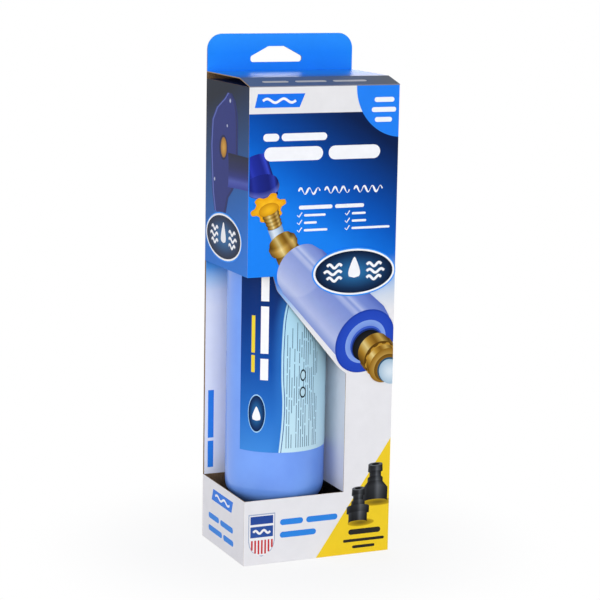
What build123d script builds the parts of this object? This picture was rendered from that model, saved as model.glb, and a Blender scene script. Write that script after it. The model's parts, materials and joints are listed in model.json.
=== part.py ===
from build123d import *
from math import cos, pi, sin, sqrt
import os

# Inline drinking-water filter in its open-window carton, with two quick-change hose fittings.
# Millimetres, +Z up.  Origin: centre of the carton's footprint, on the surface it stands on.
# The carton's front faces -Y.  The filter stands on its inlet swivel, its outlet thread is uppermost.

# ---- driving sizes: filter housing --------------------------------------------------------------
FILTER_R = 35.0          # outside radius of the blue housing
HOUSING_WALL = 3.0
HOUSING_LENGTH = 229.0   # from the flat of the domed end to the welded rim
DOME_R = 17.0            # outside shoulder radius of the domed inlet end
BOSS_R = 14.0            # inlet boss under the dome
BOSS_DROP = 5.5          # how far the boss stands below the dome's flat
CAP_THICK = 7.0          # outlet cap, spin welded inside the rim
CAP_RECESS = 1.0         # cap face below the rim
CONE_FOOT_R = 21.0       # conical boss on the outlet cap
CONE_TOP_R = 16.5
CONE_HEIGHT = 8.0
PRESS_GAP = 0.03         # bonded or pressed round joints
SLIP_GAP = 0.1           # loose round joints inside the housing

# ---- driving sizes: hose threads (3/4-11.5 NH) --------------------------------------------------
MALE_THREAD_R = 13.495   # major radius of the male thread
FEMALE_THREAD_R = 12.345  # minor radius of the female thread
MALE_THREAD_L = 14.0
THREAD_HEIGHT = 1.2      # major radius less the plain neck behind a male thread
FEMALE_THREAD_L = 11.0
THREAD_RUNOUT = 0.45     # radial undercut behind a female thread, where the washer lies
WASHER_THICK = 3.0

# ---- driving sizes: inlet swivel ----------------------------------------------------------------
STEM_R = 9.5
STEM_BORE_R = 7.0
FLANGE_THICK = 2.8
SWIVEL_GAP = 0.05        # running clearance of the swivel nut on the stem
SWIVEL_LIP = 5.2         # depth of the lip that holds the stem's flange
SWIVEL_R = 16.2
LOBES = 8                # finger lobes round the nut
LOBE_R = 3.2
LOBE_SEAT = 1.6          # lobe centres inside the nut's radius
LOBE_FOOT = 6.5          # lobes' lower end above the nut's mouth
LOBE_HEAD = 3.0          # lobes' upper end below the nut's top
NUT_ROUND = 1.1          # rounding of the nut's rims and lobes
STEM_TAIL = 4.0          # stem carried through the housing's floor
STRAINER_DROP = 1.0      # strainer's underside below the stem's flange
STRAINER_THICK = 0.5
STRAINER_HOLE_R = 0.6
STRAINER_PITCH = 1.9
STRAINER_ROWS = 3
STEM_HEX_AF = 24.0       # across flats
STEM_HEX_H = 2.4
GASKET_THICK = 1.5

# ---- driving sizes: outlet fitting --------------------------------------------------------------
COLLAR_R = 16.0
COLLAR_H = 8.0
COLLAR_CHAMFER = 0.8
OUTLET_BORE_R = 8.0
OUTLET_TAIL_R = 11.0
TAIL_FLANGE_R = 14.0     # flange under the cap
THREAD_RELIEF = 2.5      # plain neck between collar and thread

# ---- driving sizes: media bed -------------------------------------------------------------------
GRID_THICK = 3.0
GRID_ROOM = 0.3          # round gap between a grid and the housing
GRID_HOLE_R = 1.8
GRID_PITCH = 6.4
GRID_ROWS = 4
GRID_DEPTH = 2.6         # how far the lower grid sits down into the dome's curve
FELT_THICK = 4.0
KDF_DEPTH = 38.0
SPRING_SPACE = 20.0
SPRING_R = 22.0
SPRING_WIRE = 1.6
SPRING_TURNS = 4

# ---- driving sizes: label -----------------------------------------------------------------------
LABEL_GAP = 0.02
LABEL_THICK = 0.18
LABEL_FROM = -67.0       # degrees round the housing from the front, positive towards +X
LABEL_TO = 150.0
LABEL_ABOVE_DOME = 44.0  # label's lower edge above the dome's flat
LABEL_BELOW_RIM = 17.0

# ---- driving sizes: quick-change fittings -------------------------------------------------------
ADAPTER_R = 16.5         # skirt of the female adapter
ADAPTER_SKIRT = 19.0
ADAPTER_CONE = 5.0
PLUG_R = 8.2             # snap-in plug, common to both adapters
PLUG_NECK_R = 6.9
PLUG_COLLAR = 4.0
PLUG_NECK = 5.5
PLUG_NOSE = 12.5
PLUG_BORE_R = 4.6
RING_WIRE = 1.9          # O-ring section
GROOVE_DROP = 5.5        # O-ring groove's foot below the plug's tip
GROOVE_DEPTH = 1.6
GROOVE_ROOM = 0.2        # groove's height beyond the ring's
CATCH_SLOPE = 0.8
NOSE_CHAMFER = 1.2
FLANGE_R = 15.2          # hand flange of the male adapter
FLANGE_H = 6.0
FLUTES = 14
FLUTE_R = 1.3
FLUTE_OUT = 0.7          # flute centres outside the fluted radius
FLUTE_END = 2.5          # plain band at each end of the skirt's flutes
FLANGE_FLUTE_END = 0.8   # the same on the hand flange
PLUG_STEP = 1.5          # plain step from the hand flange to the plug
PLUG_SOCKET = 2.4        # wider bore inside the male thread, beyond the plug's bore
FITTING_GAP = 0.9        # room each side of the wider adapter in its compartment
FITTING_PITCH = 37.0     # between the two adapters, front to back
FITTING_SHIFT = -1.5     # the pair's middle, from the carton's middle

# ---- driving sizes: carton ----------------------------------------------------------------------
BOARD = 0.6
SIDE_ROOM = 3.4          # housing to the left wall
FRONT_ROOM = 3.9         # housing to the front and back walls
PARTITION_ROOM = 1.0     # housing to the partition
HEAD_ROOM = 35.2         # top of the outlet thread to the carton's top crease
TRAY_H = 46.0            # tray wall below the window
HEADER_H = 128.0         # printed header above the window
DIAGONAL_START = 19.0    # straight part of the header's lower edge, from the left corner
DIAGONAL_DROP = 71.0     # how far the slanted edge comes down at the partition fold
LID_RISE = 4.5
LID_RAMP = 18.0
TAB_RISE = 31.0          # hang tab above the top crease
TAB_CORNER_R = 11.0
HANG_HOLE_W = 39.0
HANG_HOLE_H = 11.0
HANG_HOLE_Z = 11.0       # hole's lower edge above the top crease
HANG_HOLE_X = -3.5
HOLE_SHOULDER = 4.0      # upright ends of the hole
HOLE_CROWN = 6.0         # half the hole's top edge
FLAP_REACH = 72.0        # folded-in side window flap
DUST_FLAP = 36.0
FLAP_ROOM = 1.5          # each end of a dust or base flap to the wall
GLUE_FLAP = 14.0
TUCK_H = 13.0
FOLD_GAP = 0.1           # flap edge to the wall beside it
PLY_GAP = 0.05           # between the two plies of the hang tab
TUCK_GAP = 0.6           # base panel's front edge to the front wall
CREASE_R = 0.5           # outside rounding of the vertical creases

# ---- worked out: heights ------------------------------------------------------------------------
STAND = 2 * BOARD                                   # top of the base panel and its side flaps
WASHER_Z = STAND + FEMALE_THREAD_L
FLANGE_Z = WASHER_Z + WASHER_THICK
LIP_Z = FLANGE_Z + FLANGE_THICK + SWIVEL_GAP
SWIVEL_TOP = LIP_Z + SWIVEL_LIP
HEX_Z = SWIVEL_TOP + 0.25
BOSS_Z = HEX_Z + STEM_HEX_H + GASKET_THICK
DOME_Z = BOSS_Z + BOSS_DROP
RIM_Z = DOME_Z + HOUSING_LENGTH
INNER_R = FILTER_R - HOUSING_WALL
INNER_FLOOR = DOME_Z + HOUSING_WALL
DOME_TOP = DOME_Z + DOME_R
CAP_TOP = RIM_Z - CAP_RECESS
CAP_Z = CAP_TOP - CAP_THICK
CONE_TOP = CAP_TOP + CONE_HEIGHT
COLLAR_Z = CONE_TOP + GASKET_THICK
THREAD_Z = COLLAR_Z + COLLAR_H + THREAD_RELIEF
OUTLET_TOP = THREAD_Z + MALE_THREAD_L

WASHER_R = FEMALE_THREAD_R + THREAD_RUNOUT - SLIP_GAP   # a washer snaps past the thread into its undercut
WASHER_BORE_R = STEM_BORE_R + 0.5

# ---- worked out: plan ---------------------------------------------------------------------------
COMPARTMENT = 2 * (max(ADAPTER_R, FLANGE_R) + FITTING_GAP)
CARTON_W = 3 * BOARD + SIDE_ROOM + 2 * FILTER_R + PARTITION_ROOM + COMPARTMENT
CARTON_D = 2 * (BOARD + FRONT_ROOM + FILTER_R)
CARTON_H = OUTLET_TOP + HEAD_ROOM
LEFT, RIGHT = -CARTON_W / 2, CARTON_W / 2
FRONT, BACK = -CARTON_D / 2, CARTON_D / 2
FILTER_X = LEFT + BOARD + SIDE_ROOM + FILTER_R
FOLD_X = FILTER_X + FILTER_R + PARTITION_ROOM       # partition fold, right edge of the window
FITTING_X = FOLD_X + BOARD + COMPARTMENT / 2
HEADER_Z = CARTON_H - HEADER_H
FILTER_AXIS = Pos(FILTER_X, 0, 0)
FEMALE_AT = Pos(FITTING_X, FITTING_SHIFT + FITTING_PITCH / 2, STAND)
MALE_AT = Pos(FITTING_X, FITTING_SHIFT - FITTING_PITCH / 2, STAND)


# ---- small helpers ------------------------------------------------------------------------------
def ring(outer, inner, z0, z1):
    """A tube or washer about Z from z0 to z1; inner 0 gives a disc."""
    body = Pos(0, 0, (z0 + z1) / 2) * Cylinder(outer, z1 - z0)
    if inner:
        body -= Pos(0, 0, (z0 + z1) / 2) * Cylinder(inner, z1 - z0)
    return body


def turned(points):
    """A solid turned about Z from a closed outline of (radius, height) points."""
    face = make_face(Polyline(*[(r, 0, z) for r, z in points], close=True))
    return revolve(face, Axis.Z)


def wall_xz(outline, y0, y1):
    """A flat board standing across the carton, from an (x, z) outline."""
    face = make_face(Plane.XZ * outline)
    return Pos(0, y1, 0) * extrude(face, amount=y1 - y0, dir=(0, -1, 0))


def slab(x0, x1, y0, y1, z0, z1):
    """An axis-aligned board or block between two corners."""
    centre = Pos((x0 + x1) / 2, (y0 + y1) / 2, (z0 + z1) / 2)
    return centre * Box(x1 - x0, y1 - y0, z1 - z0)


def hole_circles(rows, size):
    """Centres of round holes on circles: one in the middle, then six more on each row."""
    places = [(0.0, 0.0)]
    for row in range(1, rows + 1):
        for k in range(6 * row):
            turn = 2 * pi * k / (6 * row)
            places.append((row * size * cos(turn), row * size * sin(turn)))
    return places


# ---- filter: housing and ends -------------------------------------------------------------------
def housing():
    """Blue moulded shell: boss, domed end, straight body and open rim, one wall thick."""
    inner_dome = DOME_R - HOUSING_WALL
    corner = FILTER_R - DOME_R
    arc_out = DOME_R / sqrt(2)
    arc_in = inner_dome / sqrt(2)
    bore = STEM_R + PRESS_GAP
    edge = [
        Line((bore, BOSS_Z), (BOSS_R, BOSS_Z)),
        Line((BOSS_R, BOSS_Z), (BOSS_R, DOME_Z)),
        Line((BOSS_R, DOME_Z), (corner, DOME_Z)),
        ThreePointArc((corner, DOME_Z), (corner + arc_out, DOME_TOP - arc_out), (FILTER_R, DOME_TOP)),
        Line((FILTER_R, DOME_TOP), (FILTER_R, RIM_Z)),
        Line((FILTER_R, RIM_Z), (INNER_R, RIM_Z)),
        Line((INNER_R, RIM_Z), (INNER_R, DOME_TOP)),
        ThreePointArc((INNER_R, DOME_TOP), (corner + arc_in, DOME_TOP - arc_in), (corner, INNER_FLOOR)),
        Line((corner, INNER_FLOOR), (bore, INNER_FLOOR)),
        Line((bore, INNER_FLOOR), (bore, BOSS_Z)),
    ]
    face = make_face(Plane.XZ * Curve(edge))
    shell = revolve(face, Axis.Z)
    rim = shell.edges().filter_by(GeomType.CIRCLE).group_by(Axis.Z)[-1]
    return fillet(rim, HOUSING_WALL / 4)


def outlet_cap():
    """Welded end disc with the conical boss that takes the outlet fitting."""
    bore = OUTLET_TAIL_R + PRESS_GAP
    outer = INNER_R - PRESS_GAP
    return turned([
        (bore, CAP_Z), (outer, CAP_Z), (outer, CAP_TOP), (CONE_FOOT_R, CAP_TOP),
        (CONE_TOP_R, CONE_TOP), (bore, CONE_TOP),
    ])


def outlet_fitting():
    """Black collar and male hose thread, with a tail pressed through the cap and a flange under it."""
    neck = MALE_THREAD_R - THREAD_HEIGHT
    body = turned([
        (OUTLET_BORE_R, CAP_Z - FLANGE_THICK), (TAIL_FLANGE_R, CAP_Z - FLANGE_THICK),
        (TAIL_FLANGE_R, CAP_Z), (OUTLET_TAIL_R, CAP_Z), (OUTLET_TAIL_R, COLLAR_Z),
        (COLLAR_R, COLLAR_Z), (COLLAR_R, COLLAR_Z + COLLAR_H), (neck, COLLAR_Z + COLLAR_H),
        (neck, THREAD_Z), (MALE_THREAD_R, THREAD_Z), (MALE_THREAD_R, OUTLET_TOP),
        (OUTLET_BORE_R, OUTLET_TOP),
    ])
    collar = body.edges().filter_by(GeomType.CIRCLE).filter_by(lambda e: abs(e.radius - COLLAR_R) < 0.01)
    return chamfer(collar, COLLAR_CHAMFER)


def outlet_gasket():
    return ring(COLLAR_R - 1.0, OUTLET_TAIL_R + SLIP_GAP, CONE_TOP, COLLAR_Z)


# ---- filter: inlet ------------------------------------------------------------------------------
def inlet_stem():
    """Brass tailpiece: washer flange, plain journal for the swivel, hexagon, and barrel in the boss."""
    flange = ring(FEMALE_THREAD_R - SLIP_GAP, STEM_BORE_R, FLANGE_Z, FLANGE_Z + FLANGE_THICK)
    barrel = ring(STEM_R, STEM_BORE_R, FLANGE_Z, INNER_FLOOR + STEM_TAIL)
    across = STEM_HEX_AF / 2 / cos(pi / 6)
    hexagon = Pos(0, 0, HEX_Z) * extrude(RegularPolygon(across, 6), amount=STEM_HEX_H)
    hexagon -= ring(STEM_R - 0.5, 0, HEX_Z - 1, HEX_Z + STEM_HEX_H + 1)
    return flange + barrel + hexagon


def swivel_nut():
    """Brass female swivel: threaded mouth below, finger lobes, and a lip over the stem's flange."""
    body = ring(SWIVEL_R, 0, STAND, SWIVEL_TOP)
    lobe_z0, lobe_z1 = STAND + LOBE_FOOT, SWIVEL_TOP - LOBE_HEAD
    for k in range(LOBES):
        turn = 2 * pi * k / LOBES
        lobe = ring(LOBE_R, 0, lobe_z0, lobe_z1)
        body += Pos((SWIVEL_R - LOBE_SEAT) * cos(turn), (SWIVEL_R - LOBE_SEAT) * sin(turn), 0) * lobe
    ends = body.edges().filter_by(GeomType.CIRCLE).group_by(Axis.Z)
    body = fillet(ends[0] + ends[-1], NUT_ROUND)
    body -= ring(FEMALE_THREAD_R, 0, STAND - 1, WASHER_Z)
    body -= ring(FEMALE_THREAD_R + THREAD_RUNOUT, 0, WASHER_Z, LIP_Z)
    body -= ring(STEM_R + SWIVEL_GAP, 0, LIP_Z - 1, SWIVEL_TOP + 1)
    return body


def hose_washer():
    return ring(WASHER_R, WASHER_BORE_R, WASHER_Z, FLANGE_Z)


def inlet_strainer():
    """Perforated steel disc held in the washer's hole."""
    under = FLANGE_Z - STRAINER_DROP
    disc = ring(WASHER_BORE_R - PRESS_GAP, 0, under, under + STRAINER_THICK)
    cutter = Pos(0, 0, under + STRAINER_THICK / 2) * Cylinder(STRAINER_HOLE_R, 4 * STRAINER_THICK)
    for x, y in hole_circles(STRAINER_ROWS, STRAINER_PITCH):
        disc -= Pos(x, y, 0) * cutter
    return disc


def inlet_gasket():
    return ring(BOSS_R - 0.8, STEM_R + SLIP_GAP, BOSS_Z - GASKET_THICK, BOSS_Z)


# ---- filter: media stack ------------------------------------------------------------------------
def grid_plate(z0):
    """White support grid, drilled on circles."""
    plate = ring(INNER_R - GRID_ROOM, 0, z0, z0 + GRID_THICK)
    cutter = Pos(0, 0, z0 + GRID_THICK / 2) * Cylinder(GRID_HOLE_R, GRID_THICK + 2)
    for x, y in hole_circles(GRID_ROWS, GRID_PITCH):
        plate -= Pos(x, y, 0) * cutter
    return plate


def media_levels():
    """Heights of the faces between the layers, from the lower grid to the underside of the spring."""
    seat = DOME_TOP - GRID_DEPTH
    felt_1 = seat + GRID_THICK
    kdf = felt_1 + FELT_THICK
    felt_2 = kdf + KDF_DEPTH
    carbon = felt_2 + FELT_THICK
    grid_2 = CAP_Z - FLANGE_THICK - SPRING_SPACE - GRID_THICK
    felt_3 = grid_2 - FELT_THICK
    return seat, felt_1, kdf, felt_2, carbon, felt_3, grid_2


def media_layer(z0, z1):
    return ring(INNER_R - SLIP_GAP, 0, z0, z1)


def bed_spring(z0, z1):
    """Stainless compression spring that keeps the beds packed, on ground end coils."""
    lift = SPRING_WIRE / 2 + SLIP_GAP
    height = z1 - z0 - 2 * lift
    path = Pos(0, 0, z0 + lift) * Helix(height / SPRING_TURNS, height, SPRING_R)
    section = Plane(path @ 0, z_dir=path % 0) * Circle(SPRING_WIRE / 2)
    return sweep(section, path=path, is_frenet=True)


def label():
    """Thin wrap-round label, part way round the housing."""
    inner = FILTER_R + LABEL_GAP
    z0, z1 = DOME_Z + LABEL_ABOVE_DOME, RIM_Z - LABEL_BELOW_RIM
    start = Plane.XZ * Pos(inner + LABEL_THICK / 2, (z0 + z1) / 2) * Rectangle(LABEL_THICK, z1 - z0)
    wrap = revolve(start, Axis.Z, revolution_arc=LABEL_TO - LABEL_FROM)
    return Rot(0, 0, LABEL_FROM - 90) * wrap


# ---- quick-change fittings ----------------------------------------------------------------------
def plug_outline(z):
    """Outside of the snap-in plug from height z up: collar, catch neck, nose with an O-ring groove."""
    neck = z + PLUG_COLLAR
    nose = neck + PLUG_NECK
    tip = nose + PLUG_NOSE
    groove = tip - GROOVE_DROP
    floor = PLUG_R - GROOVE_DEPTH
    lip = groove + RING_WIRE + GROOVE_ROOM
    return [
        (PLUG_R, z), (PLUG_R, neck), (PLUG_NECK_R, neck + CATCH_SLOPE), (PLUG_NECK_R, nose - CATCH_SLOPE),
        (PLUG_R, nose), (PLUG_R, groove), (floor, groove), (floor, lip), (PLUG_R, lip),
        (PLUG_R, tip - NOSE_CHAMFER), (PLUG_R - NOSE_CHAMFER, tip), (PLUG_BORE_R, tip),
    ]


def plug_ring(z):
    """O-ring in the plug's groove, for a plug that starts at height z."""
    groove = z + PLUG_COLLAR + PLUG_NECK + PLUG_NOSE - GROOVE_DROP
    major = PLUG_R - GROOVE_DEPTH + SLIP_GAP / 2 + RING_WIRE / 2
    return Pos(0, 0, groove + (RING_WIRE + GROOVE_ROOM) / 2) * Torus(major, RING_WIRE / 2)


def fluted(body, radius, z0, z1):
    """The body with finger flutes cut round it between two heights."""
    cutter = ring(FLUTE_R, 0, z0, z1)
    for k in range(FLUTES):
        turn = 2 * pi * (k + 0.5) / FLUTES
        body -= Pos((radius + FLUTE_OUT) * cos(turn), (radius + FLUTE_OUT) * sin(turn), 0) * cutter
    return body


def female_adapter():
    """Skirt with a female hose thread below, coned up to the snap-in plug."""
    roof = FEMALE_THREAD_L + WASHER_THICK
    shoulder = ADAPTER_SKIRT + ADAPTER_CONE
    outline = [(FEMALE_THREAD_R, 0), (ADAPTER_R - 0.6, 0), (ADAPTER_R, 0.6), (ADAPTER_R, ADAPTER_SKIRT - 1),
               (ADAPTER_R - 1, ADAPTER_SKIRT)]
    undercut = FEMALE_THREAD_R + THREAD_RUNOUT
    outline += plug_outline(shoulder)
    outline += [(PLUG_BORE_R, roof), (undercut, roof), (undercut, FEMALE_THREAD_L),
                (FEMALE_THREAD_R, FEMALE_THREAD_L)]
    return fluted(turned(outline), ADAPTER_R, FLUTE_END, ADAPTER_SKIRT - FLUTE_END)


def male_adapter():
    """Male hose thread below, hand flange, and the same snap-in plug."""
    top = MALE_THREAD_L + FLANGE_H
    socket = PLUG_BORE_R + PLUG_SOCKET
    outline = [(socket, 0), (MALE_THREAD_R, 0), (MALE_THREAD_R, MALE_THREAD_L),
               (FLANGE_R, MALE_THREAD_L), (FLANGE_R, top - 1), (FLANGE_R - 1, top)]
    outline += plug_outline(top + PLUG_STEP) + [(PLUG_BORE_R, MALE_THREAD_L - 2), (socket, MALE_THREAD_L - 2)]
    return fluted(turned(outline), FLANGE_R, MALE_THREAD_L + FLANGE_FLUTE_END, top - FLANGE_FLUTE_END)


def adapter_washer():
    return ring(WASHER_R, PLUG_BORE_R + 2, FEMALE_THREAD_L, FEMALE_THREAD_L + WASHER_THICK)


# ---- carton -------------------------------------------------------------------------------------
def window_slant():
    """The window's slanted top edge as (distance left of the fold, height) corner points."""
    span = FOLD_X - LEFT
    start = span - DIAGONAL_START
    end_z = HEADER_Z - DIAGONAL_DROP
    return [(0.0, end_z), (5.0, end_z + 3.6), (start - 3.0, HEADER_Z - 10.0), (start, HEADER_Z)], span


def window_face(mirrored):
    """The die-cut front window as (across, height): mirrored gives the folded-in flap's own outline."""
    slant, span = window_slant()
    sign = 1 if mirrored else -1
    edge = FilletPolyline(*[(sign * d, z) for d, z in slant], radius=[8.0, 8.0])
    rest = Polyline((sign * slant[-1][0], HEADER_Z), (sign * span, HEADER_Z), (sign * span, TRAY_H),
                    (0, TRAY_H), (0, slant[0][1]))
    return Curve([edge, rest])


def front_panel():
    """Front board with the die-cut window open to its left edge."""
    board = slab(LEFT, RIGHT, FRONT, FRONT + BOARD, 0, CARTON_H)
    creases = board.edges().filter_by(Axis.Z).group_by(Axis.Y)[0]
    board = fillet(creases, CREASE_R)
    cut = wall_xz(window_face(False), -1, 1)
    return board - Pos(FOLD_X, FRONT, 0) * cut - slab(LEFT - 1, LEFT + 1, FRONT - 1, FRONT + 1, TRAY_H, HEADER_Z)


def hang_hole():
    """Cutter for the three-cornered hang hole through both plies of the tab."""
    half = HANG_HOLE_W / 2
    outline = FilletPolyline((-half, 0), (half, 0), (half, HOLE_SHOULDER), (HOLE_CROWN, HANG_HOLE_H),
                             (-HOLE_CROWN, HANG_HOLE_H), (-half, HOLE_SHOULDER), radius=1.9, close=True)
    return Pos(HANG_HOLE_X, BACK, CARTON_H + HANG_HOLE_Z) * wall_xz(outline, -5, 5)


def tab_rounded(board):
    """The board with the hang tab's two upper corners rounded."""
    corners = board.edges().filter_by(Axis.Y).group_by(Axis.Z)[-1]
    return fillet(corners, TAB_CORNER_R)


def back_panel():
    """Back board, carried up as the rear ply of the hang tab."""
    board = slab(LEFT, RIGHT, BACK - BOARD, BACK, 0, CARTON_H + TAB_RISE)
    board = tab_rounded(board)
    creases = board.edges().filter_by(Axis.Z).group_by(Axis.Y)[-1]
    return fillet(creases, CREASE_R) - hang_hole()


def side_board(x0, z0, z1):
    return slab(x0, x0 + BOARD, FRONT + BOARD, BACK - BOARD, z0, z1)


def window_flap_side():
    """Side window's cut board, folded in against the back wall behind the filter."""
    return slab(LEFT + BOARD, LEFT + BOARD + FLAP_REACH, BACK - 2 * BOARD, BACK - BOARD, TRAY_H, HEADER_Z)


def window_flap_front():
    """Front window's cut board, folded in at the window's right edge as the partition."""
    face = make_face(Plane.YZ * window_face(True))
    board = Pos(FOLD_X, FRONT + BOARD, 0) * extrude(face, amount=BOARD, dir=(1, 0, 0))
    room = slab(FOLD_X - 1, FOLD_X + 2, FRONT + BOARD, BACK - 2 * BOARD - FOLD_GAP, 0, CARTON_H)
    return board & room


def glue_flap():
    """Glued seam strip inside the right-hand back corner."""
    return slab(RIGHT - 2 * BOARD, RIGHT - BOARD, BACK - BOARD - GLUE_FLAP, BACK - BOARD, 4, CARTON_H - 4)


def lid():
    """Top board: a ramp up from the front crease, a flat, and the front ply of the hang tab."""
    ply = BACK - BOARD - PLY_GAP
    top = CARTON_H + LID_RISE
    edge = CARTON_H + TAB_RISE
    outline = Polyline(
        (FRONT, CARTON_H), (FRONT + LID_RAMP, top), (ply, top), (ply, edge), (ply - BOARD, edge),
        (ply - BOARD, top + BOARD), (FRONT + LID_RAMP, top + BOARD), (FRONT, CARTON_H + BOARD), close=True)
    board = Pos(LEFT, 0, 0) * extrude(make_face(Plane.YZ * outline), amount=CARTON_W, dir=(1, 0, 0))
    return tab_rounded(board) - hang_hole()


def dust_flap(side):
    """Top dust flap under the lid, hinged on a side wall: side -1 left, +1 right."""
    foot = CARTON_W / 2 - BOARD - PLY_GAP
    y0, y1 = FRONT + BOARD + FLAP_ROOM, BACK - BOARD - FLAP_ROOM
    tip = foot - DUST_FLAP
    outline = Polyline((side * foot, y0), (side * tip, y0 + 0.85 * DUST_FLAP), (side * tip, y1 - 4),
                       (side * foot, y1), close=True)
    return Pos(0, 0, CARTON_H - BOARD) * extrude(make_face(outline), amount=BOARD, dir=(0, 0, 1))


def base_panel():
    """Bottom board, hinged on the back wall, with its tuck flange leaning back from the front wall."""
    foot = FRONT + BOARD + TUCK_GAP
    half = CARTON_W / 2 - BOARD - FOLD_GAP
    outline = Polyline(
        (BACK - BOARD - FOLD_GAP, 0), (foot, 0), (foot + TUCK_H / 10, TUCK_H),
        (foot + TUCK_H / 10 + BOARD, TUCK_H), (foot + BOARD, BOARD), (BACK - BOARD - FOLD_GAP, BOARD), close=True)
    return Pos(-half, 0, 0) * extrude(make_face(Plane.YZ * outline), amount=2 * half, dir=(1, 0, 0))


def base_side_flap(side):
    """Base side flap glued on the bottom board: side -1 left, +1 right."""
    half = CARTON_W / 2 - BOARD - FOLD_GAP
    x0, x1 = sorted((side * 1.0, side * half))
    return slab(x0, x1, FRONT + BOARD + TUCK_GAP + 3, BACK - BOARD - FLAP_ROOM, BOARD, STAND)


# ---- every node ---------------------------------------------------------------------------------
def filter_nodes():
    seat, felt_1, kdf, felt_2, carbon, felt_3, grid_2 = media_levels()
    return {
        "housing": housing(),
        "outlet_cap": outlet_cap(),
        "outlet_fitting": outlet_fitting(),
        "outlet_gasket": outlet_gasket(),
        "inlet_stem": inlet_stem(),
        "inlet_gasket": inlet_gasket(),
        "swivel_nut": swivel_nut(),
        "hose_washer": hose_washer(),
        "inlet_strainer": inlet_strainer(),
        "lower_grid": grid_plate(seat),
        "lower_felt": media_layer(felt_1, kdf),
        "kdf_bed": media_layer(kdf, felt_2),
        "middle_felt": media_layer(felt_2, carbon),
        "carbon_bed": media_layer(carbon, felt_3),
        "upper_felt": media_layer(felt_3, grid_2),
        "upper_grid": grid_plate(grid_2),
        "bed_spring": bed_spring(grid_2 + GRID_THICK, CAP_Z),
        "label": label(),
    }


def fitting_nodes():
    female_plug = ADAPTER_SKIRT + ADAPTER_CONE
    male_plug = MALE_THREAD_L + FLANGE_H + PLUG_STEP
    return {
        "female_adapter": FEMALE_AT * female_adapter(),
        "female_adapter_washer": FEMALE_AT * adapter_washer(),
        "female_adapter_o_ring": FEMALE_AT * plug_ring(female_plug),
        "male_adapter": MALE_AT * male_adapter(),
        "male_adapter_o_ring": MALE_AT * plug_ring(male_plug),
    }


def carton_nodes():
    return {
        "front_panel": front_panel(),
        "back_panel": back_panel(),
        "right_panel": side_board(RIGHT - BOARD, 0, CARTON_H),
        "left_header": side_board(LEFT, HEADER_Z, CARTON_H),
        "left_tray_wall": side_board(LEFT, 0, TRAY_H),
        "window_flap_side": window_flap_side(),
        "window_flap_front": window_flap_front(),
        "glue_flap": glue_flap(),
        "lid": lid(),
        "dust_flap_left": dust_flap(-1),
        "dust_flap_right": dust_flap(1),
        "base_panel": base_panel(),
        "base_side_flap_left": base_side_flap(-1),
        "base_side_flap_right": base_side_flap(1),
    }


def build():
    nodes = {name: FILTER_AXIS * solid for name, solid in filter_nodes().items()}
    nodes.update(fitting_nodes())
    nodes.update(carton_nodes())
    return nodes


os.makedirs("parts", exist_ok=True)
for node_name, node_solid in build().items():
    export_step(node_solid, f"parts/{node_name}.step")
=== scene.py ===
"""Looks for the inline water filter in its window carton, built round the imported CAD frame."""

import json
import logging
import math
from dataclasses import dataclass, field
from enum import Enum
from typing import Callable, Iterable, Sequence

import bmesh
import bpy
import numpy as np
from bpy.types import Material, Node, NodeSocket, NodeTree, Object
from mathutils import Matrix, Vector

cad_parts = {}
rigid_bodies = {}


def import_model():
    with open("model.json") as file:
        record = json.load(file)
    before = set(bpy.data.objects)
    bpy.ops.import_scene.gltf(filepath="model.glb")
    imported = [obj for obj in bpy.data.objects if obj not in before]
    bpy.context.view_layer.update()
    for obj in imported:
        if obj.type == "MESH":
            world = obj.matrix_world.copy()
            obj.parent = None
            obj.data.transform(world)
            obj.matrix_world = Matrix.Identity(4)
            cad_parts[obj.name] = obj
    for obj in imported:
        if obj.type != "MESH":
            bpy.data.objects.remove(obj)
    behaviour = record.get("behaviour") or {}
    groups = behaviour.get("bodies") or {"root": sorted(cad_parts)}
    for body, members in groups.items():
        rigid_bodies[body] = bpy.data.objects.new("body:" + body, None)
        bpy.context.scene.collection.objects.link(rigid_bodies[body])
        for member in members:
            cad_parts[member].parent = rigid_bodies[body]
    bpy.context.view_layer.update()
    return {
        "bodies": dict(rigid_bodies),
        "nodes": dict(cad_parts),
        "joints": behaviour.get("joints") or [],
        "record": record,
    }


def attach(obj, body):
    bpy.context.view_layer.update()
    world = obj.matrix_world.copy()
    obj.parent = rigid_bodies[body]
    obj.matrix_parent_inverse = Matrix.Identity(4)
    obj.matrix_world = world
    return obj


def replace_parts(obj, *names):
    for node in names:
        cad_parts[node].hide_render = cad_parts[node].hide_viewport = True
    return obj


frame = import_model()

Point2 = tuple[float, float]
Point3 = tuple[float, float, float]
Stops = Sequence[tuple[float, str]]      # places from low to high, each with its hex colour

LOG = logging.getLogger("water_filter")
MM = 0.001
FILTER_X = -16.5                         # the filter's axis, in mm
FRONT_Y = -39.5                          # the front board's face
LEFT_X = -55.5                           # the left board's face
RIGHTWARD, REARWARD, UPWARD = (1, 0, 0), (0, 1, 0), (0, 0, 1)
LEFTWARD, AHEAD, DOWNWARD = (-1, 0, 0), (0, -1, 0), (0, 0, -1)
LID_UPWARD = (0, -0.35, 0.94)            # between the lid's flat and its ramp
NOISE_LOW, NOISE_HIGH = 0.3, 0.7         # a noise pattern hardly leaves this range


# ---- colours and nodes --------------------------------------------------------------------------
def linear(code: str) -> tuple[float, float, float, float]:
    """Turns an sRGB hex colour into linear light.

    Args:
        code: six hex digits.

    Returns:
        Red, green, blue and an alpha of 1.
    """
    parts = [int(code[i:i + 2], 16) / 255 for i in (0, 2, 4)]
    curve = [c / 12.92 if c <= 0.04045 else ((c + 0.055) / 1.055) ** 2.4 for c in parts]
    return curve[0], curve[1], curve[2], 1.0


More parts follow.
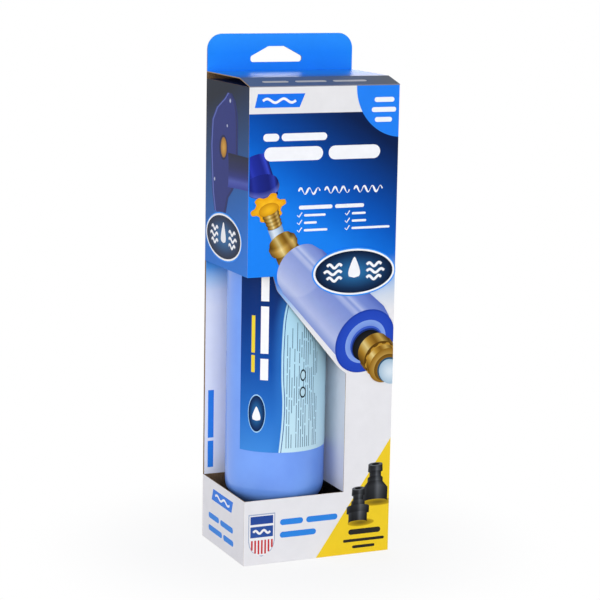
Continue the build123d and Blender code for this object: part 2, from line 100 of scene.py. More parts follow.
def add_node(tree: NodeTree, kind: str, settings: dict | None = None, inputs: dict | None = None) -> Node:
    """Adds a node with its settings and links.

    Args:
        tree: the node tree that it joins.
        kind: the node's type name.
        settings: attributes to set, and for a colour ramp its stops under "stops".
        inputs: for each socket's name or number, a value to hold or a socket to link from.

    Returns:
        The new node.
    """
    node = tree.nodes.new(kind)
    for key, value in (settings or {}).items():
        if key == "stops":
            ramp = node.color_ramp.elements
            while len(ramp) < len(value):
                ramp.new(0.5)
            for stop, (place, code) in zip(ramp, value):
                stop.position = place
                stop.color = linear(code)
        else:
            setattr(node, key, value)
    for key, value in (inputs or {}).items():
        if isinstance(value, NodeSocket):
            tree.links.new(value, node.inputs[key])
        else:
            node.inputs[key].default_value = value
    return node


def new_material(name: str) -> tuple[Material, NodeTree, NodeSocket]:
    """Starts an empty node material.

    Args:
        name: the real finish's name.

    Returns:
        The material, its tree and its Object coordinates.
    """
    material = bpy.data.materials.new(name)
    material.use_nodes = True
    tree = material.node_tree
    tree.nodes.clear()
    return material, tree, add_node(tree, "ShaderNodeTexCoord").outputs["Object"]


def finish_surface(tree: NodeTree, sockets: dict) -> None:
    """Ends a tree in a Principled shader with the given sockets."""
    shader = add_node(tree, "ShaderNodeBsdfPrincipled", inputs=sockets)
    add_node(tree, "ShaderNodeOutputMaterial", inputs={"Surface": shader.outputs[0]})


def scale_for(size_mm: float) -> float:
    """A pattern's Scale for features of a real size."""
    return 1 / (size_mm * MM)


def laid_over(tree: NodeTree, factor: NodeSocket | float, under: object, over: object,
              blend: str = "MIX") -> NodeSocket:
    """One colour laid over another where the factor is 1.

    Args:
        tree: the node tree.
        factor: how much of the upper colour shows.
        under: the lower colour, a socket or a value.
        over: the upper colour, a socket or a value.
        blend: the way in which they mix.

    Returns:
        The mixed colour's socket.
    """
    return add_node(tree, "ShaderNodeMix", {"data_type": "RGBA", "blend_type": blend}, {
        "Factor": factor, "A": under, "B": over}).outputs["Result"]


@dataclass(frozen=True)
class Relief:
    """A fine random relief of a real size and depth."""

    size_mm: float
    depth_mm: float
    strength: float
    detail: float

    def lay(self, tree: NodeTree, place: NodeSocket) -> NodeSocket:
        """Adds the relief to a material.

        Args:
            tree: the node tree.
            place: the Object coordinates.

        Returns:
            The normal's socket.
        """
        noise = add_node(tree, "ShaderNodeTexNoise", inputs={
            "Vector": place, "Scale": scale_for(self.size_mm), "Detail": self.detail})
        return add_node(tree, "ShaderNodeBump", inputs={
            "Height": noise.outputs["Fac"], "Strength": self.strength,
            "Distance": self.depth_mm * MM}).outputs[0]


@dataclass(frozen=True)
class Mottle:
    """Cloudy uptake of ink: full tone in places and a little less in others."""

    size_mm: float
    least: float

    def lay(self, tree: NodeTree, place: NodeSocket, ink: NodeSocket) -> NodeSocket:
        """Breaks up an ink's tone.

        Args:
            tree: the node tree.
            place: the Object coordinates.
            ink: the even tone.

        Returns:
            The mottled colour's socket.
        """
        cloud = add_node(tree, "ShaderNodeTexNoise", inputs={
            "Vector": place, "Scale": scale_for(self.size_mm), "Detail": 5.0, "Roughness": 0.65})
        depth = add_node(tree, "ShaderNodeMapRange", inputs={
            "Value": cloud.outputs["Fac"], "From Min": NOISE_LOW, "From Max": NOISE_HIGH,
            "To Min": self.least, "To Max": 1.0})
        return laid_over(tree, 1.0, ink, depth.outputs[0], "MULTIPLY")


# ---- finishes -----------------------------------------------------------------------------------
@dataclass(frozen=True)
class MouldedPlastic:
    """Injection-moulded plastic: an even colour with faint flow clouds and a fine moulded skin."""

    name: str
    colour: str
    cloud: str
    roughness: float = 0.32
    cloud_mm: float = 26.0
    skin: Relief = Relief(0.9, 0.012, 0.5, 2.0)   # real grain is about 0.1 mm, drawn coarse enough to show
    ior: float = 1.49         # polypropylene
    coat: float = 0.0
    coat_roughness: float = 0.1

    def material(self) -> Material:
        """Builds the material.

        Returns:
            The material: clouds in its tone and its shine, and the skin as bump.
        """
        material, tree, place = new_material(self.name)
        cloud = add_node(tree, "ShaderNodeTexNoise", inputs={
            "Vector": place, "Scale": scale_for(self.cloud_mm), "Detail": 3.0, "Roughness": 0.55})
        tint = add_node(tree, "ShaderNodeValToRGB", {"stops": ((0.32, self.cloud), (0.68, self.colour))}, {
            "Fac": cloud.outputs["Fac"]})
        shine = add_node(tree, "ShaderNodeMapRange", inputs={
            "Value": cloud.outputs["Fac"], "From Min": NOISE_LOW, "From Max": NOISE_HIGH,
            "To Min": self.roughness - 0.05, "To Max": self.roughness + 0.06})
        finish_surface(tree, {
            "Base Color": tint.outputs["Color"], "Roughness": shine.outputs[0], "IOR": self.ior,
            "Coat Weight": self.coat, "Coat Roughness": self.coat_roughness,
            "Normal": self.skin.lay(tree, place)})
        return material


@dataclass(frozen=True)
class TurnedMetal:
    """Metal turned on a lathe: fine rings about Z, with a little tarnish in patches."""

    name: str
    colour: str
    tarnish: str
    roughness: float = 0.24
    dulling: float = 0.12     # how much rougher the tarnish is
    patch_mm: float = 6.0
    ring_mm: float = 0.7      # real tool marks are about 0.1 mm, drawn coarse enough to show
    ring_depth_mm: float = 0.006
    wave_share: float = 0.31  # a wave pattern's Scale for one ring in a unit

    def material(self) -> Material:
        """Builds the material.

        Returns:
            The material: patches in its tone and its shine, and the rings as bump.
        """
        material, tree, place = new_material(self.name)
        patch = add_node(tree, "ShaderNodeTexNoise", inputs={
            "Vector": place, "Scale": scale_for(self.patch_mm), "Detail": 4.0, "Roughness": 0.6})
        tint = add_node(tree, "ShaderNodeValToRGB", {"stops": ((0.3, self.tarnish), (0.62, self.colour))}, {
            "Fac": patch.outputs["Fac"]})
        marks = add_node(tree, "ShaderNodeTexWave", {"bands_direction": "Z"}, {
            "Vector": place, "Scale": self.wave_share * scale_for(self.ring_mm), "Distortion": 0.4,
            "Detail": 1.0})
        shine = add_node(tree, "ShaderNodeMapRange", inputs={
            "Value": patch.outputs["Fac"], "From Min": NOISE_LOW, "From Max": NOISE_HIGH,
            "To Min": self.roughness + self.dulling, "To Max": self.roughness})
        bump = add_node(tree, "ShaderNodeBump", inputs={
            "Height": marks.outputs["Fac"], "Strength": 0.5, "Distance": self.ring_depth_mm * MM})
        finish_surface(tree, {
            "Base Color": tint.outputs["Color"], "Metallic": 1.0, "Roughness": shine.outputs[0],
            "Normal": bump.outputs[0]})
        return material


@dataclass(frozen=True)
class Granules:
    """Packed grains or fibres: cells of two tones with rounded relief."""

    name: str
    light: str
    dark: str
    grain_mm: float
    depth_mm: float
    roughness: float = 0.8
    metallic: float = 0.0

    def material(self) -> Material:
        """Builds the material.

        Returns:
            The material: each cell in its own tone, and its middle raised.
        """
        material, tree, place = new_material(self.name)
        cells = add_node(tree, "ShaderNodeTexVoronoi", inputs={
            "Vector": place, "Scale": scale_for(self.grain_mm)})
        tone = add_node(tree, "ShaderNodeSeparateColor", inputs={"Color": cells.outputs["Color"]})
        tint = laid_over(tree, tone.outputs[0], linear(self.dark), linear(self.light))
        bump = add_node(tree, "ShaderNodeBump", {"invert": True}, {
            "Height": cells.outputs["Distance"], "Strength": 0.8, "Distance": self.depth_mm * MM})
        finish_surface(tree, {
            "Base Color": tint, "Metallic": self.metallic, "Roughness": self.roughness,
            "Normal": bump.outputs[0]})
        return material


@dataclass(frozen=True)
class Rubber:
    """Moulded nitrile rubber: near black, matt, with a dusty bloom."""

    name: str = "moulded_nitrile_rubber"
    colour: str = "1A1A1B"
    bloom: str = "2B2B2D"
    roughness: float = 0.72
    ior: float = 1.52
    bloom_mm: float = 3.0
    depth_mm: float = 0.02

    def material(self) -> Material:
        """Builds the material.

        Returns:
            The material: the bloom in its tone and as bump.
        """
        material, tree, place = new_material(self.name)
        dust = add_node(tree, "ShaderNodeTexNoise", inputs={
            "Vector": place, "Scale": scale_for(self.bloom_mm), "Detail": 5.0})
        tint = laid_over(tree, dust.outputs["Fac"], linear(self.colour), linear(self.bloom))
        bump = add_node(tree, "ShaderNodeBump", inputs={
            "Height": dust.outputs["Fac"], "Strength": 0.3, "Distance": self.depth_mm * MM})
        finish_surface(tree, {
            "Base Color": tint, "Roughness": self.roughness, "IOR": self.ior, "Normal": bump.outputs[0]})
        return material


@dataclass(frozen=True)
class BareBoard:
    """Uncoated brown board: a ground with long specks of a darker tone."""

    dark: str
    light: str
    fibre_mm: float = 0.8
    lengthening: float = 0.25

    def lay(self, tree: NodeTree, place: NodeSocket) -> NodeSocket:
        """Adds the board's brown to a material.

        Args:
            tree: the node tree.
            place: the Object coordinates.

        Returns:
            The colour's socket.
        """
        long_way = add_node(tree, "ShaderNodeMapping", inputs={
            "Vector": place, "Scale": (1.0, 1.0, self.lengthening)})
        fibre = add_node(tree, "ShaderNodeTexNoise", inputs={
            "Vector": long_way.outputs[0], "Scale": scale_for(self.fibre_mm), "Detail": 4.0,
            "Roughness": 0.7})
        tint = add_node(tree, "ShaderNodeValToRGB", {"stops": ((0.35, self.dark), (0.65, self.light))}, {
            "Fac": fibre.outputs["Fac"]})
        return tint.outputs["Color"]


@dataclass(frozen=True)
class Fade:
    """A change along one straight direction of the object, as colours or as a plain factor."""

    way: Point3
    start_mm: float
    end_mm: float
    stops: Stops = ()

    def lay(self, tree: NodeTree, place: NodeSocket) -> NodeSocket:
        """Adds the change to a material.

        Args:
            tree: the node tree.
            place: the Object coordinates.

        Returns:
            The colour's socket, or the factor's where the fade has no colours.
        """
        along = add_node(tree, "ShaderNodeVectorMath", {"operation": "DOT_PRODUCT"}, {0: place, 1: self.way})
        part = add_node(tree, "ShaderNodeMapRange", inputs={
            "Value": along.outputs["Value"], "From Min": self.start_mm * MM, "From Max": self.end_mm * MM})
        if not self.stops:
            return part.outputs[0]
        ramp = add_node(tree, "ShaderNodeValToRGB", {"stops": self.stops}, {"Fac": part.outputs[0]})
        return ramp.outputs["Color"]


BOARD_WHITE = "E9E9EC"
KRAFT = BareBoard("6F5942", "8C7256")
CUT_EDGE = BareBoard("957A58", "B49A78")
WINDOW_TOP, WINDOW_FOOT = 202, 168       # the window's blue fades out between these heights

# Left header: the front's blue carried round the corner, darker to the rear and the top.
LEFT_ART = Fade((0, 0.3, 1), 192, 326, (
    (0.0, "2479DC"), (0.2, "2270CC"), (0.36, "2164B4"), (0.52, "225898"), (0.75, "1A3E6C"), (0.9, "152A4A"),
    (1.0, "0F1A2C")))
# Folded-in window board: blue at the top, faded to white.
WINDOW_ART = Fade(UPWARD, WINDOW_FOOT, WINDOW_TOP, (
    (0.0, "F0F3FA"), (0.35, "E0E9F8"), (0.6, "AED2F4"), (0.85, "5AA4EE"), (1.0, "3889E0")))
# The board between the filter and the fittings: the window board's colours, greyed by painted shade.
PARTITION_SHADED_ART = Fade(UPWARD, WINDOW_FOOT, WINDOW_TOP, (
    (0.0, "D6DBE6"), (0.35, "CAD8EA"), (0.6, "9EC6E8"), (0.85, "5AA4EE"), (1.0, "3889E0")))
# Back: the blue of the header and the hang tab over white board.
BACK_ART = Fade(UPWARD, 180, 361, (
    (0.0, BOARD_WHITE), (0.12, "9DBFEA"), (0.25, "1F82F5"), (0.6, "0E56BF"), (0.8, "0A3C8C"),
    (0.84, "1C7DF0"), (1.0, "2589FC")))
# Right wall: the header's blue fading down to white board.
RIGHT_ART = Fade(UPWARD, 180, 330, (
    (0.0, BOARD_WHITE), (0.14, "9DBFEA"), (0.3, "1F7CEB"), (0.6, "0E56BF"), (1.0, "082D6D")))
# Unprinted coated side, faintly darker at the foot.
PLAIN_ART = Fade(UPWARD, 0, 60, ((0.0, "E4E4E8"), (1.0, BOARD_WHITE)))


@dataclass(frozen=True)
class FrontArt:
    """Front ink: blue to navy at the top, a white band and column, a blue quarter disc, a yellow wedge."""

    blue: Fade = Fade((0.65, 0, 1), 202.9, 322.9, (
        (0.0, "1B84F6"), (0.21, "157FEE"), (0.38, "0A69D4"), (0.5, "0657BC"), (0.63, "0548A2"),
        (0.75, "063B88"), (0.88, "062C69"), (1.0, "061E4B")))
    column: Fade = Fade((-0.15, 0, 1), 206, 166, (
        (0.0, "1A6AD2"), (0.42, "9DBFEA"), (0.72, "D2DCEA"), (1.0, BOARD_WHITE)))
    column_top: Fade = Fade((-0.15, 0, 1), 210, 200)
    band: Fade = Fade(UPWARD, 312.2, 312.4)
    wedge: Fade = Fade((0.826, 0, -0.564), -0.76, -0.56)
    disc_centre: Point3 = (58.0, FRONT_Y, 329.5)
    disc_radius: float = 35.0
    soft_edge: float = 0.1

    def lay(self, tree: NodeTree, place: NodeSocket) -> NodeSocket:
        """Adds the ink to a material, from the ground up.

        Args:
            tree: the node tree.
            place: the Object coordinates.

        Returns:
            The colour's socket.
        """
        faded = laid_over(tree, self.column_top.lay(tree, place), self.blue.lay(tree, place),
                          self.column.lay(tree, place))
        banded = laid_over(tree, self.band.lay(tree, place), faded, linear("E6E6E8"))
        reach = add_node(tree, "ShaderNodeVectorMath", {"operation": "DISTANCE"}, {
            0: place, 1: [c * MM for c in self.disc_centre]})
        disc = add_node(tree, "ShaderNodeMapRange", inputs={
            "Value": reach.outputs["Value"], "From Min": (self.disc_radius + self.soft_edge) * MM,
            "From Max": (self.disc_radius - self.soft_edge) * MM})
        cornered = laid_over(tree, disc.outputs[0], banded, linear("2482F4"))
        return laid_over(tree, self.wedge.lay(tree, place), cornered, linear("F2D02C"))


@dataclass(frozen=True)
class LidArt:
    """Lid ink: slate navy on the ramp, greying to the right in painted shade, clear blue on the flat and up
    the hang tab, a crease worn pale.
    """

    # the ramp is printed slate navy, and its greying towards the right is painted shade
    ramp: Fade = Fade(RIGHTWARD, -56, 56, (
        (0.0, "34588C"), (0.45, "26508A"), (0.8, "2C456C"), (1.0, "3A4658")))
    flat: Fade = Fade(REARWARD, -15, 30, ((0.0, "2668C4"), (0.35, "2884F2"), (1.0, "2E9AFF")))
    tab: Fade = Fade(UPWARD, 334, 361, ((0.0, "248FFD"), (0.5, "1F8CFC"), (1.0, "2E98FF")))
    ramp_ends: Fade = Fade(REARWARD, -22, -16)
    tab_starts: Fade = Fade(REARWARD, 37.4, 37.8)
    worn: Fade = Fade(REARWARD, -38.9, -39.4)

    def lay(self, tree: NodeTree, place: NodeSocket) -> NodeSocket:
        """Adds the ink to a material, from the ramp to the worn crease.

        Args:
            tree: the node tree.
            place: the Object coordinates.

        Returns:
            The colour's socket.
        """
        ramp, flat, tab, ramp_ends, tab_starts, worn = (
            part.lay(tree, place)
            for part in (self.ramp, self.flat, self.tab, self.ramp_ends, self.tab_starts, self.worn))
        inked = laid_over(tree, tab_starts, laid_over(tree, ramp_ends, ramp, flat), tab)
        return laid_over(tree, worn, inked, linear("7E8090"))


@dataclass(frozen=True)
class PrintedBoard:
    """Folding board, clay coated and offset printed on one side under a thin varnish, brown on the other."""

    name: str
    outward: Point3
    art: Fade | FrontArt | LidArt
    roughness: float = 0.36
    bare_roughness: float = 0.86
    gloss: float = 0.06       # the varnish lies in the board's tooth, so it mirrors little
    printed_from: Point2 = (0.15, 0.2)    # how squarely a face looks outward where print starts
    kraft_from: Point2 = (-0.3, -0.6)     # and where the brown inside starts
    mottle: Mottle = Mottle(11.0, 0.96)
    tooth: Relief = Relief(1.4, 0.02, 0.35, 3.0)  # real tooth is about 0.2 mm, drawn coarse enough to show

    def material(self) -> Material:
        """Builds the material.

        Returns:
            The material: ink outward, bare kraft inward, and paler cut edges between them.
        """
        material, tree, place = new_material(self.name)
        facing = add_node(tree, "ShaderNodeVectorMath", {"operation": "DOT_PRODUCT"}, {
            0: place.node.outputs["Normal"], 1: self.outward})
        printed, inner = (add_node(tree, "ShaderNodeMapRange", inputs={
            "Value": facing.outputs["Value"], "From Min": low, "From Max": high}).outputs[0]
            for low, high in (self.printed_from, self.kraft_from))
        ink = self.mottle.lay(tree, place, self.art.lay(tree, place))
        bare = laid_over(tree, inner, CUT_EDGE.lay(tree, place), KRAFT.lay(tree, place))
        shine = add_node(tree, "ShaderNodeMapRange", inputs={
            "Value": printed, "To Min": self.bare_roughness, "To Max": self.roughness})
        finish_surface(tree, {
            "Base Color": laid_over(tree, printed, bare, ink), "Roughness": shine.outputs[0], "IOR": 1.5,
            "Specular IOR Level": self.gloss, "Normal": self.tooth.lay(tree, place)})
        return material


@dataclass(frozen=True)
class PrintedFilm:
    """The filter's wrap-round label: glossy film, navy and pale blue parted by a wavy edge with a rule."""

    name: str = "printed_label_film"
    foot_mm: float = 76.9
    head_mm: float = 244.9
    roughness: float = 0.22
    gloss: float = 0.07
    edge: tuple[Point2, ...] = (          # share of the height, and degrees round the filter
        (0.0, -19.0), (0.19, -15.4), (0.32, -17.0), (0.48, -16.6), (0.58, -14.5), (0.66, -8.8), (0.74, 2.0),
        (0.86, 26.0), (1.0, 58.0))
    edge_range: Point2 = (-30.0, 60.0)    # degrees that the edge's curve spans
    soft_edge: float = 0.004              # half the edge's blur, in radians
    glow: float = 0.55                    # how strong the lighter blue beside the edge is
    glow_width: float = 0.22              # and how many radians it takes
    rule_at: float = 0.045                # radians from the edge to the thin rule
    rule_half: float = 0.008
    navy: Fade = Fade(UPWARD, 77, 215, (
        (0.0, "3F89DC"), (0.18, "2870C8"), (0.42, "124EA4"), (0.7, "08327A"), (1.0, "042256")))
    pale: Fade = Fade(UPWARD, 77, 215, ((0.0, "C6E7F4"), (0.5, "B5DEF0"), (1.0, "9CD0EA")))
    ripple: Relief = Relief(14.0, 0.05, 0.4, 2.0)

    def _past_edge(self, tree: NodeTree, place: NodeSocket) -> NodeSocket:
        """Radians round the filter from the wavy edge.

        Args:
            tree: the node tree.
            place: the Object coordinates.

        Returns:
            The socket, negative on the navy side.
        """
        spot = add_node(tree, "ShaderNodeSeparateXYZ", inputs={0: place})
        across = add_node(tree, "ShaderNodeMath", {"operation": "SUBTRACT"}, {
            0: spot.outputs["X"], 1: FILTER_X * MM})
        ahead = add_node(tree, "ShaderNodeMath", {"operation": "MULTIPLY"}, {0: spot.outputs["Y"], 1: -1.0})
        turn = add_node(tree, "ShaderNodeMath", {"operation": "ARCTAN2"}, {
            0: across.outputs[0], 1: ahead.outputs[0]})
        rise = add_node(tree, "ShaderNodeMapRange", inputs={
            "Value": spot.outputs["Z"], "From Min": self.foot_mm * MM, "From Max": self.head_mm * MM})
        line = add_node(tree, "ShaderNodeFloatCurve", inputs={"Value": rise.outputs[0]})
        low, high = self.edge_range
        marks = [(at, (degrees - low) / (high - low)) for at, degrees in self.edge]
        points = line.mapping.curves[0].points
        for mark in marks[1:-1]:
            points.new(*mark)
        points[0].location = marks[0]
        points[len(points) - 1].location = marks[-1]
        line.mapping.update()
        bound = add_node(tree, "ShaderNodeMapRange", inputs={
            "Value": line.outputs[0], "To Min": math.radians(low), "To Max": math.radians(high)})
        return add_node(tree, "ShaderNodeMath", {"operation": "SUBTRACT"}, {
            0: turn.outputs[0], 1: bound.outputs[0]}).outputs[0]

    def material(self) -> Material:
        """Builds the material.

        Returns:
            The material: navy and pale sides, the glow and the rule along the edge, and a faint ripple.
        """
        material, tree, place = new_material(self.name)
        beyond = self._past_edge(tree, place)
        side = add_node(tree, "ShaderNodeMapRange", inputs={
            "Value": beyond, "From Min": -self.soft_edge, "From Max": self.soft_edge})
        rule = add_node(tree, "ShaderNodeMath", {"operation": "COMPARE"}, {
            0: beyond, 1: self.rule_at, 2: self.rule_half})
        near = add_node(tree, "ShaderNodeMapRange", {"interpolation_type": "SMOOTHSTEP"}, {
            "Value": beyond, "From Min": -self.glow_width, "From Max": 0.0, "To Max": self.glow})
        lifted = laid_over(tree, near.outputs[0], self.navy.lay(tree, place), linear("2F78CC"))
        both = laid_over(tree, side.outputs[0], lifted, self.pale.lay(tree, place))
        ruled = laid_over(tree, rule.outputs[0], both, linear("1B4C93"))
        finish_surface(tree, {
            "Base Color": ruled, "Roughness": self.roughness, "IOR": 1.5, "Specular IOR Level": self.gloss,
            "Normal": self.ripple.lay(tree, place)})
        return material


@dataclass(frozen=True)
class OffsetInk:
    """Offset ink on the board or the label: its tone is a mesh attribute, broken by a faint mottle."""

    name: str
    roughness: float = 0.34
    attribute: str = "ink"
    gloss: float = 0.06
    mottle: Mottle = Mottle(7.0, 0.95)
    tooth: Relief = Relief(1.4, 0.015, 0.3, 3.0)  # as coarse as the board's

    def material(self) -> Material:
        """Builds the material.

        Returns:
            The material: the attribute's tone under the mottle, and the board's tooth as bump.
        """
        material, tree, place = new_material(self.name)
        ink = add_node(tree, "ShaderNodeAttribute", {"attribute_name": self.attribute})
        finish_surface(tree, {
            "Base Color": self.mottle.lay(tree, place, ink.outputs["Color"]), "Roughness": self.roughness,
            "IOR": 1.5, "Specular IOR Level": self.gloss, "Normal": self.tooth.lay(tree, place)})
        return material


def seen_rays(tree: NodeTree) -> NodeSocket:
    """1 for rays that show the background: seen directly, in a reflection, or through something clear.

    Args:
        tree: the node tree.

    Returns:
        The factor's socket.
    """
    path = add_node(tree, "ShaderNodeLightPath")
    mirrored = add_node(tree, "ShaderNodeMath", {"operation": "MAXIMUM"}, {
        0: path.outputs["Is Camera Ray"], 1: path.outputs["Is Glossy Ray"]})
    return add_node(tree, "ShaderNodeMath", {"operation": "MAXIMUM"}, {
        0: mirrored.outputs[0], 1: path.outputs["Is Transmission Ray"]}).outputs[0]


@dataclass(frozen=True)
class PaperFloor:
    """Plain pale studio paper, faintly mottled, that fades to white away from the object."""

    name: str = "pale_studio_paper"
    colour: str = "F4F4F4"
    mottle: str = "EFEFEF"
    mottle_mm: float = 60.0
    near_m: float = 0.06
    far_m: float = 0.20
    least: float = 0.84       # share of plain white right beside the object

    def material(self) -> Material:
        """Builds the material.

        Returns:
            The material: paper for light and shadow, mixed with white where it is seen.
        """
        material, tree, place = new_material(self.name)
        mottle = add_node(tree, "ShaderNodeTexNoise", inputs={
            "Vector": place, "Scale": scale_for(self.mottle_mm), "Detail": 4.0})
        tint = laid_over(tree, mottle.outputs["Fac"], linear(self.mottle), linear(self.colour))
        paper = add_node(tree, "ShaderNodeBsdfDiffuse", inputs={"Color": tint})
        white = add_node(tree, "ShaderNodeEmission", inputs={"Color": (1, 1, 1, 1), "Strength": 1.0})
        reach = add_node(tree, "ShaderNodeVectorMath", {"operation": "LENGTH"}, {0: place})
        fade = add_node(tree, "ShaderNodeMapRange", {"interpolation_type": "SMOOTHSTEP"}, {
            "Value": reach.outputs["Value"], "From Min": self.near_m, "From Max": self.far_m,
            "To Min": self.least, "To Max": 1.0})
        share = add_node(tree, "ShaderNodeMath", {"operation": "MULTIPLY"}, {
            0: seen_rays(tree), 1: fade.outputs[0]})
        mixed = add_node(tree, "ShaderNodeMixShader", inputs={
            "Fac": share.outputs[0], 1: paper.outputs[0], 2: white.outputs[0]})
        add_node(tree, "ShaderNodeOutputMaterial", inputs={"Surface": mixed.outputs[0]})
        return material


# ---- meshes -------------------------------------------------------------------------------------
class Face(Enum):
    """Surfaces that carry print, each with its own flat coordinates in mm."""

    FRONT = "front"
    LEFT = "left"
    FLAP = "flap"
    RAMP = "ramp"
    LABEL = "label"


@dataclass(frozen=True)
class Surface:
    """Where a printed face lies, and how its flat coordinates are laid on it."""

    face: Face
    level_mm: float                      # the surface itself: its y, x or z, or its radius
    low: Point2 = (-math.inf, -math.inf)  # print is cut off at these limits
    high: Point2 = (math.inf, math.inf)

    def at(self, u: float, v: float, lift: float) -> Vector:
        """The place of a flat point.

        Args:
            u: distance across in mm.
            v: height in mm.
            lift: distance out from the surface in mm.

        Returns:
            The point in metres.
        """
        u = min(max(u, self.low[0]), self.high[0])
        v = min(max(v, self.low[1]), self.high[1])
        if self.face in (Face.FRONT, Face.FLAP):
            return Vector((u, self.level_mm - lift, v)) * MM
        if self.face is Face.LEFT:
            return Vector((self.level_mm - lift, -u, v)) * MM
        if self.face is Face.RAMP:
            along, rise = math.cos(RAMP_SLOPE), math.sin(RAMP_SLOPE)
            ahead, up = v * along - lift * rise, v * rise + lift * along
            return Vector((u, FRONT_Y + ahead, self.level_mm + up)) * MM
        reach, turn = self.level_mm + lift, u / self.level_mm
        return Vector((FILTER_X + reach * math.sin(turn), -reach * math.cos(turn), v)) * MM


FRONT = Surface(Face.FRONT, FRONT_Y, (-55.0, 0.3), (55.2, 329.8))
LEFT = Surface(Face.LEFT, LEFT_X, (-38.8, 0.3), (38.8, 329.8))
FLAP = Surface(Face.FLAP, 38.3)
RAMP_SLOPE = math.atan2(4.5, 18.0)       # the ramp rises 4.5 mm over 18 mm
RAMP = Surface(Face.RAMP, 330.7)
LABEL = Surface(Face.LABEL, 35.2)
BASE_LIFT = 0.004                        # the ink's underside stands this far off its board
LAYER = 0.03                             # and each ink stands this much over the last


@dataclass
class PrintMesh:
    """Gathers closed, very thin shapes of ink on one surface into one mesh.

    Places and sizes are in the surface's flat mm. A shape's layer counts the inks under it and itself.
    """

    name: str
    surface: Surface
    points: list[Vector] = field(default_factory=list)
    faces: list[tuple[int, ...]] = field(default_factory=list)
    tones: list[tuple[float, ...]] = field(default_factory=list)
    cell: float = 4.0                    # about the size of a bar's cells

    def grid(self, rows: Sequence[Sequence[Point2]], tones: Sequence[Sequence[str]] | str, layer: int = 1,
             rise: Callable[[int, int], float] | None = None) -> None:
        """Adds a shape given as a grid of flat points.

        Args:
            rows: equal rows of points in mm.
            tones: one hex colour, or one for each point.
            layer: its place in the stack of inks.
            rise: extra height in mm for the point at a row and column.
        """
        count, wide = len(rows), len(rows[0])
        first = len(self.points)
        turned = self._clockwise(rows)
        for top in (True, False):
            for i, row in enumerate(rows):
                for j, (u, v) in enumerate(row):
                    over = layer * LAYER + (rise(i, j) if rise else 0.0)
                    lift = over if top else BASE_LIFT
                    self.points.append(self.surface.at(u, v, lift))
                    self.tones.append(linear(tones if isinstance(tones, str) else tones[i][j]))
        under = first + count * wide
        shells = []
        for i in range(count - 1):
            for j in range(wide - 1):
                a, b, c, d = (i * wide + j, i * wide + j + 1, (i + 1) * wide + j + 1, (i + 1) * wide + j)
                shells.append((first + a, first + b, first + c, first + d))
                shells.append((under + d, under + c, under + b, under + a))
        rim = [(0, j) for j in range(wide)] + [(i, wide - 1) for i in range(1, count)]
        rim += [(count - 1, j) for j in range(wide - 2, -1, -1)] + [(i, 0) for i in range(count - 2, 0, -1)]
        for (i, j), (k, m) in zip(rim, rim[1:] + rim[:1]):
            a, b = i * wide + j, k * wide + m
            shells.append((first + b, first + a, under + a, under + b))
        self.faces += [face[::-1] for face in shells] if turned else shells

    @staticmethod
    def _clockwise(rows: Sequence[Sequence[Point2]]) -> bool:
        """Whether the grid's cells run clockwise in the flat coordinates.

        Args:
            rows: equal rows of points.

        Returns:
            True where their summed area is negative.
        """
        total = 0.0
        for row, above in zip(rows, rows[1:]):
            for j in range(len(row) - 1):
                ring = (row[j], row[j + 1], above[j + 1], above[j])
                total += sum(p[0] * q[1] - q[0] * p[1] for p, q in zip(ring, ring[1:] + ring[:1]))
        return total < 0

    def span(self, rows: Iterable[Point3], tone: str, layer: int = 1, columns: int = 2) -> None:
        """Adds a shape as (height, left, right) rows."""
        shares = [j / (columns - 1) for j in range(columns)]
        self.grid([[(a + (b - a) * share, v) for share in shares] for v, a, b in rows], tone, layer)

    def bar(self, u: float, v: float, length: float, height: float, tone: str, layer: int = 1) -> None:
        """Adds a bar with half-round ends.

        Args:
            u: its left end.
            v: its middle height.
            length: its length across.
            height: its height.
            tone: its colour.
            layer: its place in the stack of inks.
        """
        radius, steps = height / 2, 6
        rows = []
        for k in range(-steps, steps + 1):
            angle = math.pi / 2 * k / steps
            inset = radius * (1 - math.cos(angle))
            rows.append((v + radius * math.sin(angle), u + inset, u + length - inset))
        self.span(rows, tone, layer, max(2, int(length / self.cell)))

    def upright(self, u: float, v: float, length: float, width: float, tone: str, layer: int = 1) -> None:
        """Adds a standing bar.

        Args:
            u: its middle across.
            v: its foot.
            length: its height.
            width: its width.
            tone: its colour.
            layer: its place in the stack of inks.
        """
        count = max(3, int(length / self.cell))
        rows = [(v + length * k / count, u - width / 2, u + width / 2) for k in range(count + 1)]
        self.span(rows, tone, layer, 4)

    def fan(self, outline: Sequence[Point2], tone: str, layer: int = 1, inner: str | None = None,
            steps: int = 4) -> None:
        """Adds a shape whose outline can all be seen from its middle.

        Args:
            outline: points round it, anticlockwise.
            tone: colour at the edge.
            layer: its place in the stack of inks.
            inner: colour in the middle, if it differs.
            steps: rings between the middle and the edge.
        """
        count = len(outline)
        cu, cv = sum(p[0] for p in outline) / count, sum(p[1] for p in outline) / count
        first, shell = len(self.points), 1 + steps * count
        for top in (True, False):
            lift = layer * LAYER if top else BASE_LIFT
            self.points.append(self.surface.at(cu, cv, lift))
            self.tones.append(linear(inner or tone))
            for i in range(1, steps + 1):
                for u, v in outline:
                    share = i / steps
                    self.points.append(self.surface.at(cu + (u - cu) * share, cv + (v - cv) * share, lift))
                    self.tones.append(linear(blend_hex(inner or tone, tone, share ** 1.5)))
        for k in range(count):
            m = (k + 1) % count
            near = [first + 1 + i * count + k for i in range(steps)]
            far = [first + 1 + i * count + m for i in range(steps)]
            cells = [(first, near[0], far[0])] + [
                (near[i], near[i + 1], far[i + 1], far[i]) for i in range(steps - 1)]
            self.faces += cells + [tuple(c + shell for c in reversed(cell)) for cell in cells]
            self.faces.append((far[-1], near[-1], near[-1] + shell, far[-1] + shell))

